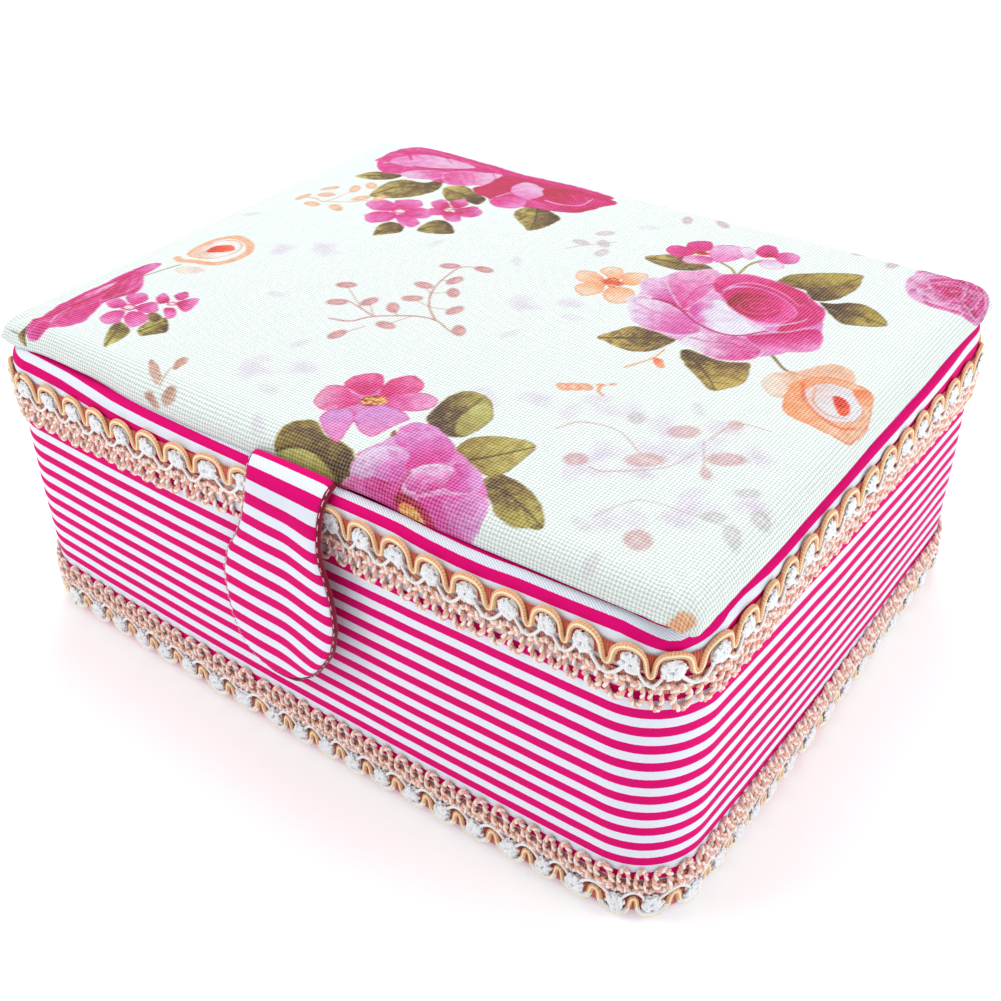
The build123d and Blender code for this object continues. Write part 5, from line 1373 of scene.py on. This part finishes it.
    for k in range(8):
        stroke(C((330 + 30 * k, 600 - 17 * k), (385 + 30 * k, 560 - 19 * k), (430 + 32 * k, 490 - 19 * k)), 0.8, 0.4, LL if k % 2 else D, 0.5, 650 + k, raw=True)
    for k in range(5):
        stroke(C((640 + 40 * k, 460 - 8 * k), (680 + 38 * k, 410 - 16 * k), (720 + 30 * k, 350 - 8 * k)), 0.8, 0.4, LL if k % 2 else D, 0.5, 660 + k, raw=True)
    stroke(C((120, 652), (180, 610), (262, 575)), 0.7, 0.5, LL, 0.8, 670, raw=True)
    stroke(C((610, 470), (700, 440), (800, 400), (858, 345)), 0.7, 0.5, PP, 0.8, 671, raw=True)
    stroke(C((200, 560), (350, 520), (480, 462), (600, 410), (700, 350), (770, 302)), 1.8, 1.0, (182, 6, 60), 0.85, 636, raw=True)
    stroke(C((300, 590), (340, 540), (420, 490)), 0.8, 0.5, WW, 0.9, 637, raw=True)
    stroke(C((858, 320), (950, 296), (1086, 260)), 0.9, 0.6, (150, 120, 56), 0.95, 638, raw=True)
    stroke(C((1150, 180), (1200, 140), (1300, 100), (1420, 96), (1500, 140), (1500, 190), (1420, 235), (1300, 262), (1180, 245), (1090, 232), (1060, 200)), 3.4, 2.6, (244, 178, 144), 0.9, 640, raw=True)
    shape(C((1130, 190), (1200, 145), (1300, 118), (1420, 118), (1462, 160), (1400, 205), (1280, 228), (1180, 222)), (246, 214, 196), (250, 246, 248), one_(C, 1180, 200), one_(C, 1350, 180), (240, 166, 130), 0.8, seed=641, blotch=0.2)
    shape(C((1245, 184), (1300, 150), (1390, 148), (1412, 180), (1330, 190)), (206, 62, 30), (238, 120, 84), one_(C, 1260, 180), one_(C, 1400, 165), None, seed=642)
    shape(C((1056, 288), (1100, 272), (1200, 282), (1230, 306), (1150, 318), (1080, 312)), (250, 232, 222), (246, 214, 202), None, None, (244, 190, 166), 0.5, 0.7, seed=643)
    # ---- right corner ----
    leaf((127.4, 85.8), (137.4, 76.8), 10.0, 141)
    rose((119, 85), [(104.7, 95.4), (106, 84), (108, 75), (120, 70), (133.9, 74.5), (134, 88), (125, 100), (112, 101)], (P_D, P_M, P_L, P_W), 251, glow=3.6)
    # ---- small dusty sprig at the front left ----
    stroke(C((946, 972), (980, 930), (1030, 880)), 0.8, 0.6, (206, 176, 160), 0.8, 81, raw=True)
    for k, q in enumerate((((890, 850), (915, 828), (950, 870), (960, 930), (930, 968), (895, 930), (882, 890)), ((1040, 880), (1060, 840), (1110, 818), (1140, 835), (1100, 870), (1060, 892)),
                           ((840, 990), (880, 985), (920, 1030), (930, 1070), (890, 1064), (855, 1030)), ((960, 1010), (1010, 980), (1050, 1010), (1030, 1050), (980, 1062), (950, 1040)))):
        shape(C(*q), (196, 148, 132), (226, 196, 184), None, None, None, alpha=0.9, seed=255 + k, blotch=0.7)
    # ---- peach patch that turns over the front right corner ----
    for k, q in enumerate(((688, 626), (683, 632), (694, 621))):
        ellipse_raw(F(plan_px(*q)), 3.2, 1.6, 0.5, (248, 196, 160), (244, 176, 136), 0.8, 700 + k)
    # other small faint leaves that fill the ground
    for k, c in enumerate([(-20, -85), (-30, -60), (-8, 24), (30, 0), (20, -20), (88, -25), (-60, -40), (-40, 20), (-10, -100), (14, 74), (100, -100), (90, -88), (-118, 8)]):
        ellipse(c, 3.4, 1.7, 1.1 * k, (234, 226, 236), (222, 208, 222), 0.55, 0.9, seed=270 + k)


def plan_px(px, py):
    """A pixel of the frame's view to the plane of the lid's top (mm)."""
    d = right * ((px - CX) / F_PX) - up * ((py - CY) / F_PX) - back
    t = (0.1135 - EYE.z) / d.z
    q = EYE + d * t
    return (q.x * 1000.0, q.y * 1000.0)


paint()
# the dyes are stronger than the brush tones, and broken up by the brush and the yarn
_g = INK.mean(-1, keepdims=True)
_k = smooth(6.0, 40.0, INK.max(-1) - INK.min(-1))[..., None]
_b = (noise2(CX_, CY_, 1.7, 881) + 0.7 * noise2(CX_ * 0.35, CY_, 0.9, 882))[..., None]
INK[:] = np.clip(_g + (INK - _g) * (1 + 0.30 * _k) - 7.0 * _k + 9.0 * _b * _k, 0, 255)


def build_lid():
    nx, ny = len(GX), len(GY)
    P = lid_point(CX_, CY_)
    tx = np.clip(np.abs(CX_) - FA, 0, None) / LARC * np.pi / 2
    ty = np.clip(np.abs(CY_) - FB, 0, None) / LARC * np.pi / 2
    th = np.hypot(tx, ty)
    out = th > np.pi / 2 * 1.055
    f = grid_faces(nx, ny)
    bad = out.ravel()[f].all(axis=1)
    f = f[~bad]
    n = wet(CX_, CY_, 501, 1.3)
    ink = INK.copy()
    # the print sits a little uneven on the yarn
    ground = (np.abs(ink - (246, 251, 249)).sum(-1) > 6)[..., None]
    ink = np.where(ground, ink + (n[..., None] - 0.5) * 16, ink + (n[..., None] - 0.5) * 4)
    col = lin(np.clip(ink, 0, 255)).reshape(-1, 3)
    used = np.zeros(nx * ny, bool)
    used[f.ravel()] = True
    remap = np.cumsum(used) - 1
    ob = new_mesh("lid_cover_linen", P.reshape(-1, 3)[used], remap[f], {"fu": CX_.ravel()[used], "fv": CY_.ravel()[used]}, {"print": col[used]})
    ob.data.materials.append(LINEN)
    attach(ob, "lid")
    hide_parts("lid_cover", "lid_pad")
    # the hem, turned under the board and glued
    t = np.linspace(0, 1, 400, endpoint=False)
    ex, ey = FA + LARC * 1.0, FB + LARC * 1.0
    per = 4 * (ex + ey)
    q = t * per
    Xb = np.select([q < 2 * ex, q < 2 * ex + 2 * ey, q < 4 * ex + 2 * ey], [q - ex, np.full_like(q, ex), ex - (q - 2 * ex - 2 * ey)], np.full_like(q, -ex))
    Yb = np.select([q < 2 * ex, q < 2 * ex + 2 * ey, q < 4 * ex + 2 * ey], [np.full_like(q, -ey), q - 2 * ex - ey, np.full_like(q, ey)], ey - (q - 4 * ex - 2 * ey))
    rows = [lid_point(Xb, Yb)]
    edge = rows[0]
    for inset, z, dz in ((0.6, 104.62, 0.0), (1.6, 105.02, 0.0), (6.0, 105.05, 0.05), (11.0, 105.05, -0.05), (15.5, 105.07, 0.03)):
        k = np.stack([edge[:, 0] * (1 - inset / 129.0), edge[:, 1] * (1 - inset / 101.0), np.full(len(edge), z) + dz * np.sin(t * 90)], -1)
        rows.append(k)
    V = np.stack(rows, 1)
    n1, n2 = V.shape[:2]
    colr = np.tile(lin([243, 249, 247]), (n1 * n2, 1))
    hem = new_mesh("lid_cover_hem", V.reshape(-1, 3), grid_faces(n1, n2, wrap_u=True, flip=True),
                   {"fu": np.repeat(q, n2), "fv": np.tile(np.arange(n2) * 4.0, n1)}, {"print": colr})
    hem.data.materials.append(LINEN)
    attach(hem, "lid")
    return ob


build_lid()

# =====================================================================
# Flap: a soft striped tongue with a stitched edge, and an edge tube coloured dark maroon as painted shade
# =====================================================================
FL_Z = np.array([33.8, 35.0, 37.0, 40.8, 46.2, 48.8, 53.9, 58.1, 62.0, 66.3, 70.5, 75.2, 79.5, 83.2, 88.2, 92.0, 97.0, 101.0, 105.0, 108.0, 111.5, 114.0])
FL_L = np.interp(FL_Z, [33.8, 35.9, 40.8, 48.8, 58.1, 66.3, 75.2, 83.2, 90.6, 97.0, 101.0, 105.0, 108.0, 111.5, 114.0], [-3.9, -9.9, -14.7, -17.2, -18.0, -17.6, -14.5, -9.4, -6.2, -5.0, -5.3, -6.5, -7.7, -9.2, -9.5])
FL_R = np.interp(FL_Z, [33.8, 35.0, 37.5, 40.6, 46.2, 53.9, 59.0, 66.4, 74.4, 80.9, 88.2, 95.7, 100.5, 104.0, 107.5, 111.0, 114.0], [-3.9, 5.9, 11.1, 14.4, 19.4, 24.6, 27.0, 28.2, 27.8, 26.7, 24.9, 24.2, 23.3, 22.5, 21.8, 20.9, 20.4])
FP = np.array([(-112.55, 33.8), (-112.6, 50.0), (-112.65, 66.0), (-112.65, 82.0), (-112.6, 90.0), (-112.35, 94.0), (-111.8, 97.4), (-110.8, 100.3), (-109.3, 102.7),
               (-107.3, 104.4), (-104.9, 105.4), (-102.6, 105.75)])
FP_L = np.concatenate([[33.8], 33.8 + np.cumsum(np.hypot(np.diff(FP[:, 0]), np.diff(FP[:, 1])))])
FP_S = np.interp(np.linspace(FP_L[0], FP_L[-1], 200), FP_L, np.arange(len(FP)))


def flap_curve():
    """Smooth centre line of the flap's path: length, y, z and outward normal."""
    n = 400
    t = np.linspace(0, len(FP) - 1, n)
    q = np.concatenate([[2 * FP[0] - FP[1]], FP, [2 * FP[-1] - FP[-2]]])
    out = []
    for u in t:
        i = min(int(u), len(FP) - 2)
        k = u - i
        a, b, c, d = q[i:i + 4]
        if True:
            out.append(0.5 * ((2 * b) + (-a + c) * k + (2 * a - 5 * b + 4 * c - d) * k * k + (-a + 3 * b - 3 * c + d) * k**3))
    out = np.array(out)
    tg = np.gradient(out, axis=0)
    tg /= np.linalg.norm(tg, axis=1, keepdims=True)
    nrm = np.stack([-tg[:, 1], tg[:, 0]], 1)
    ln = np.concatenate([[0], np.cumsum(np.hypot(np.diff(out[:, 0]), np.diff(out[:, 1])))]) + 33.8
    return ln, out, nrm


FC_L, FC_P, FC_N = flap_curve()


def flap_point(l, x, w, off):
    """l along the flap from its tip, x across, w -1..1 across for the lift of the right edge, off from its middle surface outwards."""
    y, z = np.interp(l, FC_L, FC_P[:, 0]), np.interp(l, FC_L, FC_P[:, 1])
    ny, nz = np.interp(l, FC_L, FC_N[:, 0]), np.interp(l, FC_L, FC_N[:, 1])
    lift = 2.7 * smooth(0.0, 1.0, w) * smooth(35, 52, l) * (1 - 0.85 * smooth(88, 108, l))
    lift = lift + 0.35 * np.sin((l - 30) / 11.0) * smooth(0.2, 1.0, w) * (1 - smooth(88, 104, l)) - 0.25 * smooth(0.3, 1.0, -w)
    o = off + lift
    return np.stack([x, y + ny * o, z + nz * o], -1)


def build_flap():
    nl, nw = 150, 44
    ls = np.concatenate([33.8 + 8.0 * (1 - np.cos(np.linspace(0, np.pi / 2, 26)))[:-1], np.linspace(41.8, FC_L[-1] - 0.2, nl - 25)])
    xl, xr = np.interp(ls, FL_Z, FL_L), np.interp(ls, FL_Z, FL_R)
    # the rounded tip closes to a point
    tipk = np.sqrt(np.clip((ls - 33.8) / 3.2, 0, 1))
    mid = -3.9 + (np.interp(37.0, FL_Z, FL_L) + np.interp(37.0, FL_Z, FL_R)) * 0.0
    xl = np.where(ls < 37, -1.0 + (np.interp(37.0, FL_Z, FL_L) + 1.0) * tipk, xl)
    xr = np.where(ls < 37, -1.0 + (np.interp(37.0, FL_Z, FL_R) + 1.0) * tipk, xr)
    w = np.sin(np.linspace(-1, 1, nw) * np.pi / 2)
    Lg, Wg = np.meshgrid(ls, w, indexing="ij")
    Xg = (xl[:, None] + xr[:, None]) / 2 + (xr - xl)[:, None] / 2 * Wg
    half = (xr - xl)[:, None] / 2
    edge = np.clip((1 - np.abs(Wg)) * half / 2.2, 0, 1)
    tip = np.clip((Lg - 33.8) / 2.0, 0, 1)
    th = 1.12 * np.sqrt(np.clip(1 - (1 - edge) ** 2, 0, 1)) * np.sqrt(np.clip(1 - (1 - tip) ** 2, 0, 1))
    puff = 0.28 * np.cos(Wg * np.pi / 2) + 0.10 * noise2(Xg, Lg, 14.0, 31)
    fvv = STRIPE_TOP - 1.562 - 0.8902 * (83.5 - Lg) + 0.012 * Xg + 0.9 * smooth(30, 60, 60 - Lg) * Wg * Wg
    for key, sgn, mat, rep, slot in (("flap_front_cloth", 1, FLAP_STRIPES, "flap_front", "striped_twill"), ("flap_back_cloth", -1, PLAIN_PINK, "flap_back", "striped_twill")):
        P = flap_point(Lg, Xg, Wg, sgn * th + (puff if sgn > 0 else 0) * np.minimum(edge, tip))
        ob = new_mesh(key, P.reshape(-1, 3), grid_faces(len(ls), nw, flip=(sgn < 0)), {"fu": Xg.ravel(), "fv": fvv.ravel(), "zz": np.full(Lg.size, 90.0)})
        ob.data.materials.append(mat)
        if sgn > 0:
            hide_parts(rep, "flap_stiffener")
        else:
            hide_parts(rep)
        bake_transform(ob)
    # edge tube all round, thickest at the right, coloured dark maroon as painted shade on the flap's side; and a row of
    # stitches just inside it
    side_l = np.linspace(FC_L[-1] - 0.6, 37.0, 90)
    tl = np.linspace(0, np.pi, 60)[1:-1]
    xl37, xr37 = float(np.interp(37.0, FL_Z, FL_L)), float(np.interp(37.0, FL_Z, FL_R))
    run_l = np.concatenate([side_l, 37.0 - 3.2 * np.sin(tl), side_l[::-1]])
    run_x = np.concatenate([np.interp(side_l, FL_Z, FL_L), (xl37 + xr37) / 2 - (xr37 - xl37) / 2 * np.cos(tl), np.interp(side_l[::-1], FL_Z, FL_R)])
    xc = np.interp(run_l, FL_Z, (FL_L + FL_R) / 2)
    hw = np.maximum(np.interp(run_l, FL_Z, (FL_R - FL_L) / 2), 3.0)
    run_w = np.clip((run_x - xc) / hw, -1, 1)
    path = flap_point(run_l, run_x, run_w, -0.25)
    v, f, cu, cv = tube(path, np.array([0.0, -1.0, 0.0]), 0.22 + 0.44 * smooth(-0.5, 0.3, run_w), 0.45 + 0.55 * smooth(-0.5, 0.3, run_w), 8)
    ob = new_mesh("flap_edge_shade", v, f, {"cu": cu, "cv": cv})
    ob.data.materials.append(FLAP_EDGE_SHADE)
    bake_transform(ob)
    bag = Bag()
    step = np.concatenate([[0], np.cumsum(np.linalg.norm(np.diff(path, axis=0), axis=1))])
    inset = np.sign(run_x - xc) * 0.0
    s0 = 1.5
    while s0 < step[-1] - 3.0:
        t = np.linspace(s0, s0 + 1.9, 6)
        ll, xx, ww = np.interp(t, step, run_l), np.interp(t, step, run_x), np.interp(t, step, run_w)
        p = flap_point(ll, xx + 0.22 * np.sign(ww), ww, 0.35)
        p = p + np.array([0.0, -0.22, 0.0]) * np.sin(np.linspace(0, np.pi, 6))[:, None]
        bag.add(*tube(p, np.array([0.0, -1.0, 0.0]), 0.20, 0.18, 6))
        s0 += 3.1
    v, f, cu, cv = bag.arrays()
    ob = new_mesh("flap_stitches", v, f, {"cu": cu, "cv": cv})
    ob.data.materials.append(STITCH)
    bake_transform(ob)


# the edge tube's dark maroon is painted shade for the flap's shaded side
FLAP_EDGE_SHADE = simple_cloth("flap_edge_shade", rgba(150, 6, 56), rgba(110, 0, 36), 0.5, bump=0.1)
build_flap()

# =====================================================================
# Hinge cloth: one strip from the body's back shoulder to the lid's back edge
# =====================================================================
def build_hinge():
    prof = np.array([(105.8, 97.9), (105.76, 98.8), (105.55, 100.3), (104.9, 101.6), (103.8, 102.9), (102.9, 103.8), (102.25, 104.7), (101.95, 105.6), (101.75, 106.6), (101.68, 107.0), (101.62, 107.4)])
    n = len(prof)
    seg = np.concatenate([[0], np.cumsum(np.hypot(np.diff(prof[:, 0]), np.diff(prof[:, 1])))])
    xs = np.linspace(-107.6, 107.6, 180)
    tt = np.linspace(0, seg[-1], 26)
    y, z = np.interp(tt, seg, prof[:, 0]), np.interp(tt, seg, prof[:, 1])
    Xg, Yg = np.meshgrid(xs, y, indexing="ij")
    _, Zg = np.meshgrid(xs, z, indexing="ij")
    _, Tg = np.meshgrid(xs, tt, indexing="ij")
    off = 0.08 * noise2(Xg, Tg, 9.0, 41)
    dy = np.gradient(y)
    dz = np.gradient(z)
    nn = np.stack([dz, -dy], 1) / np.hypot(dy, dz)[:, None]
    # it lies on the wrap's shoulder, and rises a little more where the wrap's ends lap
    low = 1.0 - smooth(102.6, 104.8, Zg)
    lap = low * (1.0 - smooth(7.3, 10.0, np.abs(Xg)))
    up, down = 0.34 + off + 0.24 * low + 0.58 * lap, 0.42 * lap
    top = np.stack([Xg, Yg + nn[None, :, 0] * up, Zg + nn[None, :, 1] * up], -1)
    bot = np.stack([Xg, Yg + nn[None, :, 0] * down, Zg + nn[None, :, 1] * down], -1)
    V = np.concatenate([top, bot[:, ::-1]], 1)
    m = V.shape[1]
    i, j = np.meshgrid(np.arange(len(xs) - 1), np.arange(m), indexing="ij")
    j2 = (j + 1) % m
    f = np.stack([i * m + j, i * m + j2, (i + 1) * m + j2, (i + 1) * m + j], -1).reshape(-1, 4)
    # ends
    caps = []
    for a in (0, (len(xs) - 1) * m):
        for k in range(m // 2 - 1):
            q = [a + k, a + k + 1, a + m - 2 - k, a + m - 1 - k]
            caps.append(q if a == 0 else q[::-1])
    f = np.concatenate([f, np.array(caps)])
    ob = new_mesh("hinge_cloth_strip", V.reshape(-1, 3), f)
    ob.data.materials.append(TAPE)
    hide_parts("hinge_cloth_lid", "hinge_cloth_body")
    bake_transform(ob)


build_hinge()

# =====================================================================
# Soft pieces inside: sewn pads, the gathered pocket, ribbons
# =====================================================================
def box_mm(node):
    lo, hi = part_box(node)
    return np.array(lo, float) * 1000.0, np.array(hi, float) * 1000.0


def rounded(cx, cy, hx, hy, r, n=260):
    """ring(inset): a rounded rectangle, drawn in by inset, as (n, 2) points with the run along it."""
    def ring(inset):
        a, b, q = hx - inset, hy - inset, max(r - inset, 0.6)
        seg = [(a - q, -b + q, -90), (a - q, b - q, 0), (-a + q, b - q, 90), (-a + q, -b + q, 180)]
        out = []
        m = n // 4
        for i, (x0, y0, a0) in enumerate(seg):
            nx_, ny_ = seg[(i + 1) % 4][:2]
            arc = np.radians(a0 + np.linspace(0, 90, m // 3, endpoint=False))
            out += list(np.stack([cx + x0 + q * np.cos(arc), cy + y0 + q * np.sin(arc)], 1))
            e = np.array([cx + x0 + q * math.cos(math.radians(a0 + 90)), cy + y0 + q * math.sin(math.radians(a0 + 90))])
            nxt = np.array([cx + nx_ + q * math.cos(math.radians(a0 + 90)), cy + ny_ + q * math.sin(math.radians(a0 + 90))])
            t = np.linspace(0, 1, m - m // 3, endpoint=False)[:, None]
            out += list(e + (nxt - e) * t)
        return np.array(out)
    return ring


def pillow(name, nodes, body, mat, up, ring, z_back, z_front, roll, seam=0.35, crown=0.75, pucker=0.25, wave=7.0, slot=None, extra=None, seed=60, sag=0.0):
    """A crowned closed pad: flat back, rolled seam edge with small puckers, soft top."""
    H = abs(z_front - z_back)
    sg = 1.0 if z_front > z_back else -1.0
    zs = H * seam
    rows = [(0.0, 0.02, 0.0), (0.0, 0.5, 0.0), (1.2, 1.0, 0.0), (0.45, 1.0, zs * 0.45), (0.05, 1.0, zs * 0.9), (0.0, 1.0, zs)]
    for a in np.linspace(0.15, math.pi / 2, 9):
        rows.append((roll * (1 - math.cos(a)), 1.0, zs + (H * crown - zs) * math.sin(a)))
    for t in np.linspace(0.03, 0.98, 22):
        rows.append((roll, 1.0 - t, H * (crown + (1 - crown) * (1 - (1 - t) ** 2))))
    base = ring(0.0)
    n = len(base)
    run = np.concatenate([[0], np.cumsum(np.linalg.norm(np.diff(base, axis=0), axis=1))])
    c = base.mean(0)
    P = np.empty((n, len(rows), 3))
    for j, (ins, sc, z) in enumerate(rows):
        edge = math.exp(-((j - 7) / 4.0) ** 2) if j >= 3 else 0.0
        pk = pucker * edge * (0.5 + 0.5 * np.cos(2 * np.pi * run / wave + 1.5 * noise2(run, run * 0, 20.0, seed)))
        q = ring(ins) if sc > 0.999 else c + (ring(ins if j > 5 else 1.2) - c) * sc
        d = c - q
        d /= np.linalg.norm(d, axis=1, keepdims=True) + 1e-9
        q = q + d * pk[:, None]
        zz = np.full(n, z)
        if j > 5:
            k_ = min(1.0, (j - 5) / 6.0)
            zz = zz - H * 0.05 * k_ * (0.5 + 0.5 * noise2(q[:, 0], q[:, 1], 14.0, seed + 1)) - pk * 0.6
            if extra is not None:
                zz = zz + extra(q[:, 0], q[:, 1]) * k_
        P[:, j, 0], P[:, j, 1], P[:, j, 2] = q[:, 0], q[:, 1], z_back + sg * np.clip(zz, 0.0, H)
    f = grid_faces(n, len(rows), wrap_u=True, flip=(sg < 0))
    m = len(rows)
    cap = [[i * m for i in range(n)][:: -1 if sg > 0 else 1], [i * m + m - 1 for i in range(n)][:: 1 if sg > 0 else -1]]
    allf = [tuple(int(x) for x in q) for q in f] + [tuple(q) for q in cap]
    ob = new_mesh(name, P.reshape(-1, 3), allf)
    ob.data.materials.append(mat)
    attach(ob, body)
    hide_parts(*nodes)
    return ob


def build_inside():
    lo, hi = box_mm("floor_pad")
    ss = np.linspace(0, OUT_L, 420, endpoint=False)
    d0 = hi[0] - wall_point(ss, ss * 0 + 5.0, 0.0)[:, 0].max()
    pillow("floor_pad_cover", ["floor_pad"], "body", LINING, True, lambda ins: wall_point(ss, ss * 0 + 5.0, d0 - 0.1 - ins)[:, :2][::WIND], lo[2], hi[2], 6.0, seam=0.4, crown=0.8, wave=9.0)
    lo, hi = box_mm("pin_cushion")
    c, h = (lo + hi) / 2, (hi - lo) / 2
    dimple = lambda x, y: -2.2 * np.exp(-(((x - c[0]) / 6.0) ** 2 + ((y - c[1]) / 6.0) ** 2)) - 0.5 * np.abs(np.sin(np.arctan2(y - c[1], x - c[0]) * 4)) * np.exp(-np.hypot(x - c[0], y - c[1]) / 9.0)
    pillow("pin_cushion_cover", ["pin_cushion"], "lid", PLAIN_PINK, False, rounded(c[0], c[1], h[0], h[1], 12.0), hi[2], lo[2], 8.5, seam=0.3, crown=0.62, pucker=0.5, wave=5.0, extra=dimple, seed=63)
    lo, hi = box_mm("lid_pocket")
    c, h = (lo + hi) / 2, (hi - lo) / 2
    def gather(x, y):
        k = np.exp(-((y - lo[1]) / 22.0)) + 0.35 * np.exp(-((hi[1] - y) / 14.0))
        w = 1.2 * noise2(x, y, 16.0, 66)
        hem = -0.5 * np.exp(-((y - lo[1] - 9.0) / 1.3) ** 2)
        return -0.62 * np.clip(k, 0, 1) * (0.5 + 0.5 * np.cos(2 * np.pi * x / 4.6 + w)) - 0.25 + hem
    pillow("lid_pocket_cloth", ["lid_pocket"], "lid", LINING, False, rounded(c[0], c[1], h[0], h[1], 6.0, 900), hi[2], lo[2], 2.2, seam=0.35, crown=0.9, pucker=0.3, wave=4.6, extra=gather, seed=67)
    # tray ribbons: each is a folded loop, glued inside the wall
    lo, hi = box_mm("tray_pull_ribbons")
    V, Fc, n0 = [], [], 0
    for sgn in (-1, 1):
        yo = hi[1] if sgn > 0 else lo[1]
        r = 0.72
        path = [(yo - sgn * 0.16, lo[2]), (yo - sgn * 0.16, hi[2] - 4.0), (yo - sgn * 0.10, hi[2] - 2.2), (yo - sgn * 0.05, hi[2] - 1.0)]
        for a in np.linspace(0, math.pi, 9):
            path.append((yo - sgn * (0.75 - r * math.cos(a)), hi[2] - 0.85 + r * math.sin(a)))
        path += [(yo - sgn * 1.5, hi[2] - 2.2), (yo - sgn * 1.0, hi[2] - 4.2), (yo - sgn * 0.56, hi[2] - 6.5), (yo - sgn * 0.54, lo[2] + 0.6)]
        path = np.array(path)
        L = np.concatenate([[0], np.cumsum(np.hypot(*np.diff(path, axis=0).T))])
        tt = np.linspace(0, L[-1], 46)
        py, pz = np.interp(tt, L, path[:, 0]), np.interp(tt, L, path[:, 1])
        ty_, tz_ = np.gradient(py), np.gradient(pz)
        q = np.hypot(ty_, tz_)
        ny_, nz_ = tz_ / q, -ty_ / q
        xs = np.linspace(lo[0], hi[0], 25)
        lip = 0.15 + 0.05 * np.exp(-((np.abs(xs - xs.mean()) - (hi[0] - lo[0]) / 2) / 0.5) ** 2)
        up_ = np.stack([np.repeat(xs[:, None], 46, 1), py[None] + ny_[None] * lip[:, None], pz[None] + nz_[None] * lip[:, None]], -1)
        dn = np.stack([np.repeat(xs[:, None], 46, 1), py[None] - ny_[None] * lip[:, None], pz[None] - nz_[None] * lip[:, None]], -1)
        W = np.concatenate([up_, dn[:, ::-1]], 1)
        m = W.shape[1]
        i, j = np.meshgrid(np.arange(len(xs) - 1), np.arange(m), indexing="ij")
        f = np.stack([i * m + j, i * m + (j + 1) % m, (i + 1) * m + (j + 1) % m, (i + 1) * m + j], -1).reshape(-1, 4)
        ends = [[k, k + 1, m - 2 - k, m - 1 - k] for k in range(m // 2 - 1)]
        last = (len(xs) - 1) * m
        f = np.concatenate([f, np.array(ends), last + np.array(ends)[:, ::-1]])
        V.append(W.reshape(-1, 3))
        Fc.append(f + n0)
        n0 += len(V[-1])
    ob = new_mesh("tray_pull_loops", np.concatenate(V), np.concatenate(Fc))
    ob.data.materials.append(PULL)
    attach(ob, "tray")
    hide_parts("tray_pull_ribbons")


WIND = 1
build_inside()

# =====================================================================
# Floor, light, world
# =====================================================================
def build_stage():
    me = bpy.data.meshes.new("floor")
    me.from_pydata([(-5, -5, 0), (5, -5, 0), (5, 5, 0), (-5, 5, 0)], [], [(0, 1, 2, 3)])
    ob = bpy.data.objects.new("floor", me)
    scene.collection.objects.link(ob)
    m = M("floor", rgba(250, 250, 250), rough=0.9, spec=0.1)
    glow = next(n for n in m.m.node_tree.nodes if n.type == "BSDF_PRINCIPLED")
    glow.inputs["Emission Color"].default_value = (1.0, 1.0, 1.0, 1.0)
    glow.inputs["Emission Strength"].default_value = 0.22
    me.materials.append(m.m)

    def area(name, loc, target, size, power, color=(1, 1, 1)):
        ld = bpy.data.lights.new(name, "AREA")
        ld.shape = "SQUARE"
        ld.size = size
        ld.energy = power
        ld.color = color
        lo = bpy.data.objects.new(name, ld)
        scene.collection.objects.link(lo)
        lo.location = loc
        d = Vector(target) - Vector(loc)
        lo.rotation_euler = d.to_track_quat("-Z", "Y").to_euler()
        return lo

    area("key_left", (-0.75, -0.85, 0.75), (0, -0.05, 0.05), 0.6, 5.6, (1.0, 0.995, 0.99))
    area("fill_right", (0.95, 0.15, 0.55), (0, 0, 0.05), 0.6, 4.2, (0.98, 0.99, 1.0))
    area("top", (-0.25, 0.35, 1.05), (0, 0, 0.05), 0.6, 6.3)
    w = bpy.data.worlds.new("world")
    scene.world = w
    w.use_nodes = True
    bg = w.node_tree.nodes["Background"]
    bg.inputs["Color"].default_value = (1, 1, 1, 1)
    bg.inputs["Strength"].default_value = 0.50
    scene.view_settings.view_transform = "Standard"
    scene.view_settings.look = "None"
    scene.view_settings.exposure = 0.0


build_stage()
